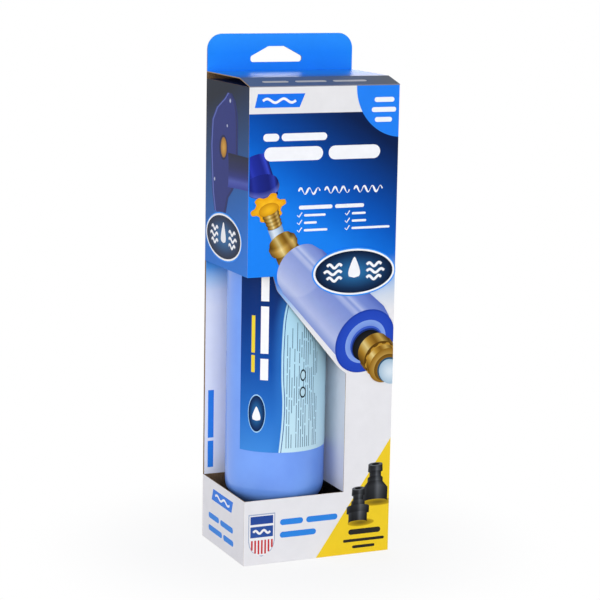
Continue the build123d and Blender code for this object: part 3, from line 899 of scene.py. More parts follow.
    def oval(self, u: float, v: float, a: float, b: float, tone: str, layer: int = 1,
             tilt: Point2 = (0.0, 1.0), inner: str | None = None, lobes: int = 0, lobe: float = 0.0) -> None:
        """Adds an ellipse, or a lobed one.

        Args:
            u: centre across.
            v: centre height.
            a: half width.
            b: half height, along tilt.
            tone: edge colour.
            layer: its place in the stack of inks.
            tilt: unit direction of the half height.
            inner: colour in the middle, if it differs.
            lobes: number of lobes round it.
            lobe: how far they stand out, as a share of the radius.
        """
        outline, count, squareness = [], 72, 2.2
        for k in range(count):
            angle = 2 * math.pi * k / count
            reach = 1 + lobe * math.tanh(squareness * math.cos(lobes * angle)) if lobes else 1.0
            x, y = a * reach * math.cos(angle), b * reach * math.sin(angle)
            outline.append((u + tilt[1] * x + tilt[0] * y, v - tilt[0] * x + tilt[1] * y))
        self.fan(outline, tone, layer, inner)

    def ribbon(self, path: Sequence[Point2], width: float | Callable[[float], float], tone: str,
               layer: int = 1) -> None:
        """Adds a band along a path.

        Args:
            path: its middle line.
            width: its width, or a function that gives it from 0 to 1 along the path.
            tone: its colour.
            layer: its place in the stack of inks.
        """
        rows = []
        for k, (u, v) in enumerate(path):
            before, after = path[max(k - 1, 0)], path[min(k + 1, len(path) - 1)]
            du, dv = after[0] - before[0], after[1] - before[1]
            size = math.hypot(du, dv) or 1.0
            half = (width(k / (len(path) - 1)) if callable(width) else width) / 2
            aside, along = dv / size * half, du / size * half
            rows.append([(u - aside, v + along), (u + aside, v - along)])
        self.grid(rows, tone, layer)

    def drop(self, u: float, v: float, height: float, tone: str, layer: int = 1) -> None:
        """Adds a plain water drop.

        Args:
            u: its middle across.
            v: its foot.
            height: its height.
            tone: its colour.
            layer: its place in the stack of inks.
        """
        rows, steps = [], 16
        fullness, low_belly, taper, least = 0.36, 0.62, 0.55, 0.01
        for k in range(steps + 1):
            part = k / steps
            swell = math.sqrt(max(math.sin(math.pi * part ** low_belly), 0.0))
            half = max(height * fullness * swell * (1 - taper * part), least)
            rows.append((v + height * part, u - half, u + half))
        self.span(rows, tone, layer, 6)

    def lathe(self, spine: Sequence[Point3], tones: Stops, roundness: float = 0.8, layer: int = 1,
              whole_start: bool = False, bands: Sequence[float] | None = None) -> None:
        """Adds a picture of a turned body seen from one side.

        Args:
            spine: (across, height, radius) of its rings.
            tones: colours from one side (-1) to the other (1).
            roundness: a ring's height over its width as drawn.
            layer: its place in the stack of inks.
            whole_start: draw the far side of the first ring too.
            bands: light for each ring, 1 for as given.
        """
        columns, relief = 24, 0.02
        sides = [-1 + 2 * j / columns for j in range(columns + 1)]
        crowns = [math.sqrt(max(1 - side ** 2, 0.0)) for side in sides]
        du, dv = spine[-1][0] - spine[0][0], spine[-1][1] - spine[0][1]
        size = math.hypot(du, dv)
        du, dv = du / size, dv / size
        rows, colours = [], []
        rings = ([(-1.0, 0)] if whole_start else []) + [(1.0, i) for i in range(len(spine))]
        for bulge, i in rings:
            u, v, radius = spine[i]
            light = bands[i] if bands else 1.0
            rows.append([(u - dv * radius * side + du * bulge * roundness * radius * crown,
                          v + du * radius * side + dv * bulge * roundness * radius * crown)
                         for side, crown in zip(sides, crowns)])
            colours.append([shade_hex(stop_hex(tones, side), light) for side in sides])
        self.grid(rows, colours, layer, lambda i, j: relief * crowns[j])

    def build(self, material: Material, body: str, slot: str) -> Object:
        """Makes the object and lets it ride on its body.

        Args:
            material: the ink.
            body: the body that carries the board.
            slot: not used.

        Returns:
            The object.
        """
        obj = new_object(self.name, self.points, self.faces, material)
        layer = obj.data.color_attributes.new("ink", "FLOAT_COLOR", "POINT")
        layer.data.foreach_set("color", [c for tone in self.tones for c in tone])
        tidy_closed(obj)
        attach(obj, body)
        LOG.info("%s: %d points of ink on %s", self.name, len(obj.data.vertices), body)
        return obj


def blend_hex(a: str, b: str, part: float) -> str:
    """A colour part of the way from a to b."""
    pairs = [(int(a[i:i + 2], 16), int(b[i:i + 2], 16)) for i in (0, 2, 4)]
    return "".join(f"{round(p + (q - p) * part):02X}" for p, q in pairs)


def shade_hex(code: str, light: float) -> str:
    """A colour made darker (under 1) or lighter (over 1)."""
    return blend_hex("000000", code, light) if light <= 1 else blend_hex(code, "FFFFFF", light - 1)


def stop_hex(stops: Stops, at: float) -> str:
    """The colour at a place between listed stops.

    Args:
        stops: places from low to high, each with its colour.
        at: the place.

    Returns:
        The hex colour.
    """
    for (a, ca), (b, cb) in zip(stops, stops[1:]):
        if at <= b:
            return blend_hex(ca, cb, min(max((at - a) / (b - a), 0.0), 1.0))
    return stops[-1][1]


def new_object(name: str, points: Sequence[Vector], faces: Sequence[Sequence[int]],
               material: Material) -> Object:
    """Makes a mesh object at the origin.

    Args:
        name: the piece's name.
        points: places in metres.
        faces: each face's point numbers.
        material: its material.

    Returns:
        The object.
    """
    mesh = bpy.data.meshes.new(name)
    mesh.from_pydata([tuple(p) for p in points], [], [tuple(f) for f in faces])
    mesh.materials.append(material)
    obj = bpy.data.objects.new(name, mesh)
    bpy.context.scene.collection.objects.link(obj)
    return obj


def tidy_closed(obj: Object, sharp_deg: float = 35.0, turn_out: bool = False) -> None:
    """Welds doubled points, drops empty faces and smooths all but sharp edges.

    Args:
        obj: the closed mesh object.
        sharp_deg: edges sharper than this stay sharp.
        turn_out: whether to turn all faces outward first.
    """
    work = bmesh.new()
    work.from_mesh(obj.data)
    if turn_out:
        bmesh.ops.recalc_face_normals(work, faces=work.faces)
    bmesh.ops.remove_doubles(work, verts=work.verts, dist=2e-6)
    bmesh.ops.dissolve_degenerate(work, edges=work.edges, dist=1e-7)
    work.to_mesh(obj.data)
    work.free()
    obj.data.polygons.foreach_set("use_smooth", [True] * len(obj.data.polygons))
    obj.data.set_sharp_from_angle(angle=math.radians(sharp_deg))
    obj.data.update()


HOSE_PITCH = 2.209                       # 3/4-11.5 NH hose thread: 11.5 turns to the inch
MALE_THREAD_R = 13.495                   # its major radius
FEMALE_THREAD_R = 12.345                 # its minor radius


@dataclass(frozen=True)
class Thread:
    """Helical ridges on one straight wall; a negative depth cuts them outward, as in a nut."""

    radius: float
    start: float
    end: float
    depth: float
    flat: float = 0.12        # share of the pitch that the crest's half takes
    flank: float = 0.2        # share of the pitch that one flank takes
    run_out: float = 1.0      # mm over which the thread starts and ends
    rings_a_turn: int = 12

    def at(self, height: float, turn: float) -> float:
        """The wall's radius once cut.

        Args:
            height: the place along the axis in mm.
            turn: the angle round it in radians.

        Returns:
            The radius in mm.
        """
        phase = ((height - self.start) / HOSE_PITCH - turn / (2 * math.pi)) % 1.0
        ridge = min(max((abs(phase - 0.5) - self.flat) / self.flank, 0.0), 1.0)
        fade = min(1.0, (height - self.start) / self.run_out, (self.end - height) / self.run_out)
        return self.radius - self.depth * ridge * max(fade, 0.0)

    def rings(self, length: float) -> int:
        """How many steps a wall of this length needs."""
        return max(2, int(length / HOSE_PITCH * self.rings_a_turn))


@dataclass(frozen=True)
class Flutes:
    """Finger hollows round one straight wall."""

    radius: float
    start: float
    end: float
    count: int
    depth: float = 0.75
    run_out: float = 0.8      # mm over which a hollow starts and ends

    def at(self, height: float, turn: float) -> float:
        """The wall's radius once hollowed.

        Args:
            height: the place along the axis in mm.
            turn: the angle round it in radians.

        Returns:
            The radius in mm.
        """
        hollow = max(math.cos(turn * self.count), 0.0) ** 2
        fade = min(1.0, (height - self.start) / self.run_out, (self.end - height) / self.run_out)
        return self.radius - self.depth * hollow * max(fade, 0.0)

    def rings(self, length: float) -> int:
        """How many steps a wall of this length needs."""
        return 10 if length > 3 else 1


@dataclass
class Turned:
    """A closed turned body whose straight walls may carry a thread or flutes."""

    name: str
    centre: Point2
    outline: list[Point2]                # (radius, height) in mm, clockwise from the bore's foot
    cuts: tuple[Thread | Flutes, ...] = ()
    segments: int = 112
    nearness: float = 0.02               # a wall this near to a cut's radius carries it

    def _rings(self) -> list[Point2]:
        """The outline with extra rings where a wall carries a cut.

        Returns:
            The rings as (radius, height).
        """
        out: list[Point2] = []
        for (r0, z0), (r1, z1) in zip(self.outline, self.outline[1:] + self.outline[:1]):
            steps = 1
            for cut in self.cuts:
                if max(abs(r0 - cut.radius), abs(r1 - cut.radius)) < self.nearness:
                    steps = cut.rings(abs(z1 - z0))
            out += [(r0, z0 + (z1 - z0) * k / steps) for k in range(steps)]
        return out

    def _radius(self, radius: float, height: float, turn: float) -> float:
        """A ring's radius at one angle.

        Args:
            radius: its radius before any cut.
            height: its height.
            turn: the angle in radians.

        Returns:
            The radius in mm.
        """
        for cut in self.cuts:
            if abs(radius - cut.radius) < self.nearness and cut.start <= height <= cut.end:
                return cut.at(height, turn)
        return radius

    def build(self, material: Material) -> Object:
        """Makes the closed mesh.

        Args:
            material: its material.

        Returns:
            The object.
        """
        rings, around = self._rings(), self.segments
        turns = [2 * math.pi * k / around for k in range(around)]
        points, faces = [], []
        for radius, height in rings:
            for turn in turns:
                r = self._radius(radius, height, turn)
                points.append(Vector((
                    self.centre[0] + r * math.cos(turn), self.centre[1] + r * math.sin(turn), height)) * MM)
        for i in range(len(rings)):
            low, high = i * around, (i + 1) % len(rings) * around
            for k in range(around):
                after = (k + 1) % around
                faces.append((low + k, low + after, high + after, high + k))
        obj = new_object(self.name, points, faces, material)
        tidy_closed(obj, 32.0, turn_out=True)
        return obj


# ---- print --------------------------------------------------------------------------------------
WHITE_INK = "F4F6FA"
TRAY_BLUE = "3288E4"
FRONT_TOP_LAYER = 24                     # the front's oval badge lies over the pictured filter

# Tones across each pictured turned body, from its one side (-1) to the other (1).
BRASS_TONES = ((-1.0, "5E3F0C"), (-0.6, "B98A2C"), (-0.25, "F3DC92"), (0.0, "C79A3A"), (0.35, "8A5F17"),
               (0.65, "D9B55C"), (1.0, "54380A"))
HOSE_TONES = ((-1.0, "8FA6C0"), (-0.4, "DDE8F2"), (0.1, "C5D8EA"), (1.0, "7E98B6"))
TAP_TONES = ((-1.0, "141B6B"), (-0.55, "2A3AB4"), (-0.2, "202E9C"), (0.4, "1C2788"), (0.75, "3346C4"),
             (1.0, "121858"))
SPOUT_TONES = ((-1.0, "2E3B98"), (-0.6, "4857AE"), (-0.3, "202B7C"), (0.2, "182056"), (0.8, "13193E"),
               (1.0, "0F1330"))
NYLON_TONES = ((-1.0, "0E0F11"), (-0.5, "3C3F43"), (-0.2, "5A5E63"), (0.1, "24262A"), (0.6, "1B1C1F"),
               (1.0, "3A3D42"))
BODY_TONES = ((-1.0, "8496D2"), (-0.78, "B4BFE6"), (-0.45, "9AA9DC"), (-0.05, "8698D6"), (0.22, "7C90D2"),
              (0.3, "D5DCF3"), (0.36, "8598D6"), (0.46, "7E92D4"), (0.52, "CBD4F0"), (0.6, "7D91D4"),
              (0.84, "6C82CC"), (1.0, "556CBC"))
END_TILT = (-0.661, 0.750)               # the way along the pictured filter
NUT_TILT = (-0.30, 0.954)                # and along its yellow nut


def in_a_row(start: float, lengths: Sequence[float], gap: float) -> list[Point2]:
    """Lays lengths one after another.

    Args:
        start: where the first begins.
        lengths: their lengths.
        gap: the space between two.

    Returns:
        Each one's start and length.
    """
    out = []
    for length in lengths:
        out.append((start, length))
        start += length + gap
    return out


def wave(u0: float, u1: float, v: float, height: float, turns: float, steps: int = 40) -> list[Point2]:
    """A sine path across, from u0 to u1."""
    return [(u0 + (u1 - u0) * k / steps, v + height * math.sin(2 * math.pi * turns * k / steps))
            for k in range(steps + 1)]


def badge(ink: PrintMesh, u: float, v: float, a: float, b: float, first_layer: int) -> None:
    """Adds a bare oval emblem: pale rim, blue line, navy ground, a water drop and three waves.

    Args:
        ink: the mesh it joins.
        u: centre across in mm.
        v: centre height in mm.
        a: half width in mm.
        b: half height in mm.
        first_layer: the lowest ink layer it may use.
    """
    ink.oval(u, v, a, b, "2F94F6", first_layer)
    ink.oval(u, v, a * 0.972, b * 0.945, WHITE_INK, first_layer + 1)
    ink.oval(u, v, a * 0.925, b * 0.87, "06132F", first_layer + 2, inner="2A6FA8")
    ink.drop(u, v - b * 0.24, b * 0.86, WHITE_INK, first_layer + 3)
    for side in (-1, 1):
        for row in (-1, 0, 1):
            start = u + side * a * 0.30
            end = start + side * a * (0.42 - 0.07 * abs(row))
            path = wave(start, end, v + row * b * 0.27, b * 0.075, 1.5)
            ink.ribbon(path, b * 0.11, WHITE_INK, first_layer + 3)


@dataclass(frozen=True)
class FrontPrint:
    """The front board's picture of a filter on a tap, with bare badges and bars where words would go."""

    name: str = "front_print"
    shield_u: float = -42.3              # the shield's middle
    shield_half: float = 10.0
    shield_shoulder: float = 17.0        # the height where its sides start to curve in
    shield_point: float = 11.4           # from there down to its point

    def _inlet(self, ink: PrintMesh) -> None:
        """Pictures the tap, the yellow nut, the hose and its couplings.

        Args:
            ink: the front's print.
        """
        ink.lathe([(-51.5, 281.5, 9.5), (-48.5, 274.0, 9.0), (-46.0, 266.0, 9.4)], TAP_TONES, 0.35, 2,
                  whole_start=True)
        ink.oval(-44.6, 259.8, 10.6, 4.6, "0A0F44", 2, (0.12, 0.99))
        ink.lathe([(-45.6, 266.0, 11.6), (-45.0, 262.6, 12.2), (-44.9, 261.6, 11.8)], TAP_TONES, 0.5, 3,
                  whole_start=True, bands=(0.85, 1.25, 0.9))
        ink.lathe([(-43.6, 257.8, 7.2), (-42.6, 255.2, 7.0)], BRASS_TONES, 0.4, 4)
        ink.oval(-40.9, 249.3, 11.6, 8.2, "E89F12", 5, NUT_TILT, "FFC928", 6, 0.15)
        ink.oval(-40.5, 247.6, 7.6, 4.6, "C98A10", 6, NUT_TILT, "F6BC22")
        stub = [(-40.0 + 0.5 * k, 246.6 - 1.25 * k, 6.6 - 0.5 * (k % 2) - 0.12 * k) for k in range(9)]
        ink.lathe(stub, BRASS_TONES, 0.35, 7, bands=[0.75 + 0.35 * (k % 2) for k in range(9)])
        ink.lathe([(-36.2, 236.2, 5.3), (-34.4, 231.5, 5.2), (-32.4, 226.0, 5.1)], HOSE_TONES, 0.35, 6)
        ink.lathe([(-32.0, 227.0, 9.0), (-31.0, 225.4, 10.9), (-28.6, 221.6, 10.9), (-27.7, 220.2, 9.4)],
                  BRASS_TONES, 0.42, 8, whole_start=True, bands=(0.85, 1.1, 0.9, 0.6))
        ink.lathe([(-27.9, 220.6, 9.0), (-25.0, 216.0, 9.9), (-22.0, 212.0, 9.9)], BRASS_TONES, 0.42, 7,
                  bands=(0.7, 1.1, 1.0))

    def _filter(self, ink: PrintMesh) -> None:
        """Pictures the tilted filter: body, stepped cap, brass collar and nut, and the hose's mouth.

        Args:
            ink: the front's print.
        """
        ink.lathe([(-16.1, 205.6, 19.4), (-15.2, 204.7, 20.2), (30.1, 159.8, 24.3)], BODY_TONES, 0.82, 9,
                  whole_start=True, bands=(1.12, 1.0, 1.0))
        cap = ((33.2, 153.2, 24.3, 20.2, "1D3FA6", "2A52C6"), (33.5, 152.9, 23.4, 19.4, "2346B8", "2E56CC"),
               (33.7, 152.7, 16.6, 13.8, "86A6E8", "5878D0"), (34.4, 151.6, 13.2, 11.1, "3A5CC6", "3A5CC6"),
               (34.8, 150.6, 12.6, 10.6, "1A347E", "1A347E"), (35.2, 149.8, 12.1, 10.2, "0B0C0F", "2A2C30"))
        for layer, (u, v, across, along, edge, middle) in enumerate(cap, 10):
            ink.oval(u, v, across, along, edge, layer, END_TILT, middle)
        collar = [(40.6, 146.4, 13.2), (41.3, 145.5, 13.9), (44.0, 141.9, 13.9), (44.6, 141.1, 12.6)]
        ink.lathe(collar, BRASS_TONES, 0.84, 16, whole_start=True, bands=(0.9, 1.12, 1.0, 0.45))
        ink.oval(45.1, 140.4, 13.0, 10.9, "5A3C0A", 17, END_TILT, "7A5416")
        ink.oval(46.2, 139.0, 12.9, 10.8, "B98A2C", 18, END_TILT, "E2C06C", 12, 0.045)
        nut = [(46.8, 138.2, 12.7), (48.9, 135.4, 13.1)]
        ink.lathe(nut, BRASS_TONES, 0.84, 19, whole_start=True, bands=(0.95, 1.15))
        ink.oval(49.3, 134.8, 13.2, 11.1, "8F6518", 20, END_TILT, "E9C878")
        ink.oval(50.6, 133.2, 10.4, 8.9, "6B4A12", 21, END_TILT, "B98A2C")
        ink.oval(52.4, 131.2, 9.0, 9.2, "1C4F6C", 22, END_TILT)
        ink.oval(53.2, 130.2, 8.3, 9.3, "A3BFD4", 23, END_TILT, "DCE9F3")

    def _fittings(self, ink: PrintMesh) -> None:
        """Pictures the two quick-change fittings on the yellow wedge, with their shadows and mouths.

        Args:
            ink: the front's print.
        """
        small = ((22.8, 7.2), (29.0, 7.2), (29.4, 8.7), (34.2, 8.7), (34.6, 5.4), (38.0, 5.2), (39.0, 3.9),
                 (42.0, 3.9), (42.6, 5.0), (47.2, 4.8))
        large = ((36.6, 9.7), (46.4, 9.9), (50.6, 6.4), (51.0, 6.0), (54.0, 5.9), (55.0, 4.5), (58.0, 4.5),
                 (58.6, 5.7), (63.6, 5.5))
        for u, profile, layer in ((44.0, large, 2), (31.0, small, 3)):
            (foot, foot_r), (top, top_r) = profile[0], profile[-1]
            light = [0.85 + 0.2 * (k % 2) for k in range(len(profile))]
            ink.oval(u + 2.5, foot - 0.4, foot_r + 3, 2.6, "C9A61C", 1, inner="7A6618")
            ink.lathe([(u, v, radius) for v, radius in profile], NYLON_TONES, 0.2, layer, bands=light)
            ink.oval(u, top + 0.3, top_r, 1.3, "5B5F64", layer + 1)
            ink.oval(u, top + 0.4, top_r * 0.55, 0.7, "0B0B0C", layer + 2)

    def _words(self, ink: PrintMesh) -> None:
        """Puts bars, ticks and waves in the places of the headings and lists.

        Args:
            ink: the front's print.
        """
        ink.span([(316.4, -51.8, -19.2), (325.6, -49.6, -15.2)], "1B74EE", 2, 6)
        ink.ribbon(wave(-46.0, -22.0, 321.0, 1.3, 2.0), 1.7, WHITE_INK, 3)
        for at, length in ((-45.3, 11.5), (-32.0, 33.5)):
            ink.bar(at, 296.4, length, 5.2, WHITE_INK, 1)
        for at, length in ((-44.5, 43.0), (2.8, 38.6)):
            ink.bar(at, 285.2, length, 9.4, WHITE_INK, 12)
        for start, end, turns in ((-18.9, -3.0, 2.5), (0.5, 19.0, 3.0), (22.5, 43.9, 3.5)):
            path = wave(start, end, 259.5, 2.1, turns, 60)
            ink.ribbon(path, lambda part: 0.9 + 0.55 * math.sin(19 * part), WHITE_INK, 1)
        for at, length in ((-18.5, 25.0), (8.5, 21.8)):
            ink.bar(at, 248.4, length, 2.6, WHITE_INK, 1)
        for column, lengths in ((-18.5, (20.0, 13.5, 21.5)), (17.2, (14.5, 15.0, 33.0))):
            for row, length in enumerate(lengths):
                level = 243.0 - 5.1 * row
                tick = [(column + u, level + v) for u, v in ((-1.0, 0.2), (0.2, -1.1), (2.4, 2.0))]
                ink.ribbon(tick, 0.7, WHITE_INK, 1)
                ink.bar(column + 4.0, level, length - 4.0, 1.55, WHITE_INK, 1)
        for level, start, length in ((320.4, 36.5, 15.0), (313.6, 34.5, 18.5), (306.8, 37.0, 13.0)):
            ink.bar(start, level, length, 3.3, WHITE_INK, 1)
        for level, lengths in ((28.8, (17.5, 24.0)), (19.7, (27.5,))):
            for at, length in in_a_row(-28.6, lengths, 2.4):
                ink.bar(at, level, length, 4.3, TRAY_BLUE, 1)
        for at, level, length, height in (
                (24.0, 16.0, 25.0, 3.9), (20.0, 9.8, 32.0, 2.1), (27.2, 5.0, 17.5, 2.1)):
            ink.bar(at, level, length, height, "2A2A26", 2)

    def _shield_half(self, level: float) -> float:
        """Half the shield's width at a height: straight sides, then a rounded point."""
        below = max((self.shield_shoulder - level) / self.shield_point, 0.0)
        return self.shield_half * math.sqrt(max(1 - below ** 1.7, 0.0))

    def _shield(self, ink: PrintMesh) -> None:
        """Prints a bare shield in red, white and blue.

        Args:
            ink: the front's print.
        """
        middle, least, steps = self.shield_u, 0.05, 8
        for low, high, inset, tone, layer in (
                (5.6, 36.4, 0.0, "A9B4CC", 1), (6.6, 35.5, 0.7, "F2F2F4", 2), (29.0, 34.8, 1.5, "2C4C9A", 3),
                (19.6, 27.4, 1.5, "31549F", 3)):
            rows = []
            for k in range(steps + 1):
                level = low + (high - low) * k / steps
                half = max(self._shield_half(level) - inset, least)
                rows.append((level, middle - half, middle + half))
            ink.span(rows, tone, layer, 5)
        top, width, pitch = 17.6, 1.3, 2.5
        for k in range(7):
            left = -50.2 + pitch * k
            aside = (abs(left + 0.75 - middle) / self.shield_half) ** 2
            foot = max(7.6, self.shield_shoulder - self.shield_point * max(1 - aside, 0.0) ** 0.59 + 1.2)
            ink.span([(foot, left, left + width), (top, left, left + width)], "C8363C", 3, 2)
        ink.ribbon(wave(-48.6, -36.0, 23.5, 1.1, 2.0), 1.6, "F2F2F4", 4)

    def build(self, material: Material) -> Object:
        """Prints everything on the front board.

        Args:
            material: the ink.

        Returns:
            The print.
        """
        ink = PrintMesh(self.name, FRONT)
        for draw in (self._words, self._inlet, self._filter, self._fittings, self._shield):
            draw(ink)
        badge(ink, 23.6, 202.4, 31.7, 16.9, FRONT_TOP_LAYER)
        return ink.build(material, "carton", "printed_board")


@dataclass(frozen=True)
class LidPrint:
    """Three pale bars on the lid's ramp, in the places of words."""

    name: str = "lid_print"

    def build(self, material: Material) -> Object:
        """Prints the lid.

        Args:
            material: the ink.

        Returns:
            The print.
        """
        ink = PrintMesh(self.name, RAMP)
        for start, length in ((-43.0, 19.0), (-19.0, 23.0), (9.0, 25.0)):
            ink.bar(start, 8.8, length, 3.4, "B9BCC4", 1)
        return ink.build(material, "lid", "printed_board")


@dataclass(frozen=True)
class LeftPrint:
    """Print on the left: the tap's rear half and a badge on the header, a badge and bars on the tray."""

    header: str = "left_header_print"
    tray: str = "left_tray_print"
    flap: str = "side_flap_print"

    def build(self, material: Material) -> list[Object]:
        """Prints the left side.

        Args:
            material: the ink.

        Returns:
            The prints on the header, the tray wall and the folded-in window board.
        """
        prints = (self._header(), self._tray(), self._flap())
        return [ink.build(material, "carton", "printed_board") for ink in prints]

    def _header(self) -> PrintMesh:
        """Pictures the tap's rear half, with an oval badge under it.

        Returns:
            The ink.
        """
        ink = PrintMesh(self.header, LEFT)
        plate = [(240.0, -22.0, -1.0), (252.0, -26.0, 4.0), (258.0, -27.0, 12.0), (266.0, -28.0, 19.0),
                 (285.0, -30.0, 20.0), (303.0, -28.0, 19.5), (312.0, -20.0, 18.0), (319.0, -6.0, 14.0),
                 (323.5, 0.0, 7.5)]
        ink.span(plate, "222E78", 1, 6)
        ink.span([(v, a + 1.2, a + 3.2) for v, a, b in plate], "5968B4", 2, 2)
        ink.span([(v, b - 3.6, b - 1.0) for v, a, b in plate], "1B2460", 2, 2)
        ink.oval(-6.4, 285.4, 7.6, 8.6, "141B4C", 3)
        ink.oval(-5.6, 285.6, 5.4, 7.0, "A06E1E", 4, inner="D9A244")
        for u, v, size in ((5.4, 318.4, 1.5), (0.5, 301.0, 1.1), (-22.0, 262.0, 1.3)):
            ink.oval(u, v, size, size, "8C94B4", 4, inner="C9CFE4")
        ink.lathe([(2.0, 271.0, 11.8), (22.0, 271.6, 11.4), (44.0, 272.0, 11.2)], SPOUT_TONES, 0.15, 3)
        ink.span([(226.0, -14.0, -1.0), (240.0, -17.0, 2.5)], "2B3A86", 1, 4)
        badge(ink, -4.2, 223.6, 33.4, 17.0, 5)
        return ink

    def _tray(self) -> PrintMesh:
        """Puts a bare badge and bars on the tray's wall.

        Returns:
            The ink.
        """
        ink = PrintMesh(self.tray, LEFT)
        ink.span([(31.8, -21.5, 16.0), (40.2, -18.5, 19.0)], "2B7CE4", 1, 6)
        ink.ribbon(wave(-14.5, 12.5, 36.0, 1.2, 2.0), 1.6, WHITE_INK, 2)
        for level, lengths in ((19.4, (20.0, 24.0)), (10.2, (26.0, 19.0))):
            for at, length in in_a_row(-27.0, lengths, 2.4):
                ink.bar(at, level, length, 4.2, TRAY_BLUE, 1)
        return ink

    def _flap(self) -> PrintMesh:
        """Puts two standing bars on the folded-in window board.

        Returns:
            The ink.
        """
        ink = PrintMesh(self.flap, FLAP)
        for at, length in in_a_row(50.8, (19.5, 35.0), 2.3):
            ink.upright(-50.2, at, length, 4.4, "3488E8", 1)
        return ink


@dataclass(frozen=True)
class LabelPrint:
    """White and yellow bars, a drop emblem and fine ruled lines on the filter's label."""

    name: str = "label_print"
    seed: int = 7
    lines: int = 15
    line_from: float = -10.5             # degrees round the filter of the first fine line
    line_step: float = 2.9
    line_foot: float = 80.0
    gap_share: float = 0.16              # share of the fine lines' pieces that stay bare

    def _headings(self, ink: PrintMesh, per_degree: float) -> None:
        """Prints the white and yellow bars, the drop emblem and the two rings.

        Args:
            ink: the label's print.
            per_degree: mm round the label for a degree.
        """
        for turn, start, lengths, gap, width, tone in (
                (-36.5, 128.0, (15.0, 33.0, 36.0), 3.6, 5.6, WHITE_INK),
                (-50.0, 133.0, (12.0, 26.0), 1.8, 2.7, "E9D23C")):
            for at, length in in_a_row(start, lengths, gap):
                ink.upright(turn * per_degree, at, length, width, tone, 1)
        middle = (-45.0 * per_degree, 104.0)
        ink.oval(*middle, 6.6, 13.6, "9CCBF2", 1)
        ink.oval(*middle, 6.1, 12.7, "0A1C44", 2, inner="2B74B4")
        ink.drop(middle[0], middle[1] - 5.0, 10.0, WHITE_INK, 3)
        for level, a, b in ((131.0, 2.3, 4.2), (119.0, 2.5, 4.0)):
            ink.oval(9.0 * per_degree, level, a, b, "23303C", 2)
            ink.oval(9.0 * per_degree, level, a * 0.7, b * 0.7, "BFE0EE", 3)

    def build(self, material: Material) -> Object:
        """Prints the label, its fine lines in random lengths.

        Args:
            material: the ink.

        Returns:
            The print.
        """
        ink = PrintMesh(self.name, LABEL)
        per_degree = math.radians(1) * LABEL.level_mm
        self._headings(ink, per_degree)
        pick = np.random.default_rng(self.seed)
        for column in range(self.lines):
            turn = self.line_from + self.line_step * column
            at = self.line_foot
            while at < 150.0 + 1.4 * column:
                length = float(pick.uniform(7.0, 21.0))
                if pick.random() > self.gap_share:
                    ink.upright(turn * per_degree, at, length, 0.5, "587897", 1)
                at += length + float(pick.uniform(0.9, 2.0))
        return ink.build(material, "filter", "label_film")


# ---- moulded and turned pieces ------------------------------------------------------------------
@dataclass(frozen=True)
class QuickChangePlug:
    """Outline of the snap-in plug shared by both hose fittings, in mm."""

    radius: float = 8.2
    neck: float = 6.9
    bore: float = 4.6
    groove_depth: float = 1.6
    groove_width: float = 2.1
    length: float = 22.0

    def outline(self, foot: float) -> list[Point2]:
        """The plug's outside, over its tip to the bore.

        Args:
            foot: the height where the plug starts.

        Returns:
            The points as (radius, height).
        """
        neck, nose, tip = foot + 4.0, foot + 9.5, foot + self.length
        low, high = tip - 5.5, tip - 5.5 + self.groove_width
        r, seat = self.radius, self.radius - self.groove_depth
        return [(r, foot), (r, neck), (self.neck, neck + 0.8), (self.neck, nose - 0.8), (r, nose), (r, low),
                (seat, low), (seat, high), (r, high), (r, tip - 1.2), (r - 1.2, tip), (self.bore, tip)]


@dataclass(frozen=True)
class MaleAdapter:
    """Fitting with a male hose thread, a fluted hand flange and a plug, all in mm."""

    centre: Point2 = (37.5, -20.0)
    foot: float = 1.2
    socket: float = 7.0
    flange: float = 15.2
    plug: QuickChangePlug = QuickChangePlug()

    def build(self, material: Material) -> Object:
        """Makes the fitting with real thread ridges.

        Args:
            material: its nylon.

        Returns:
            The piece that stands for the CAD's.
        """
        z, thread, flange = self.foot, MALE_THREAD_R, self.flange
        outline = [(self.socket, z), (12.9, z), (thread, z + 0.7), (thread, z + 13.9), (15.0, z + 14.0),
                   (flange, z + 14.3), (flange, z + 19.0), (flange - 1.0, z + 20.0),
                   (self.plug.radius, z + 20.0)]
        outline += self.plug.outline(z + 21.5)
        outline += [(self.plug.bore, z + 12.0), (self.socket, z + 12.0)]
        piece = Turned("male_adapter_moulding", self.centre, outline, (
            Thread(thread, z + 0.7, z + 13.9, 1.05), Flutes(flange, z + 14.3, z + 19.0, 14))).build(material)
        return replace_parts(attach(piece, "male_adapter"), "male_adapter")


@dataclass(frozen=True)
class FemaleAdapter:
    """Fitting with a fluted skirt round a female hose thread, coned up to the plug, all in mm."""

    centre: Point2 = (37.5, 17.0)
    foot: float = 1.2
    skirt: float = 16.5
    washer_seat: float = 12.795
    plug: QuickChangePlug = QuickChangePlug()

    def build(self, material: Material) -> Object:
        """Makes the fitting with real thread ridges.

        Args:
            material: its nylon.

        Returns:
            The piece that stands for the CAD's.
        """
        z, thread, skirt, seat = self.foot, FEMALE_THREAD_R, self.skirt, self.washer_seat
        outline = [(thread, z), (skirt - 0.6, z), (skirt, z + 0.6), (skirt, z + 18.0),
                   (skirt - 1.0, z + 19.0)]
        outline += self.plug.outline(z + 24.0)
        outline += [(self.plug.bore, z + 14.0), (seat, z + 14.0), (seat, z + 11.0), (thread, z + 11.0)]
        piece = Turned("female_adapter_moulding", self.centre, outline, (
            Thread(thread, z, z + 11.0, -0.9), Flutes(skirt, z + 2.5, z + 16.5, 14))).build(material)
        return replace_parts(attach(piece, "female_adapter"), "female_adapter")


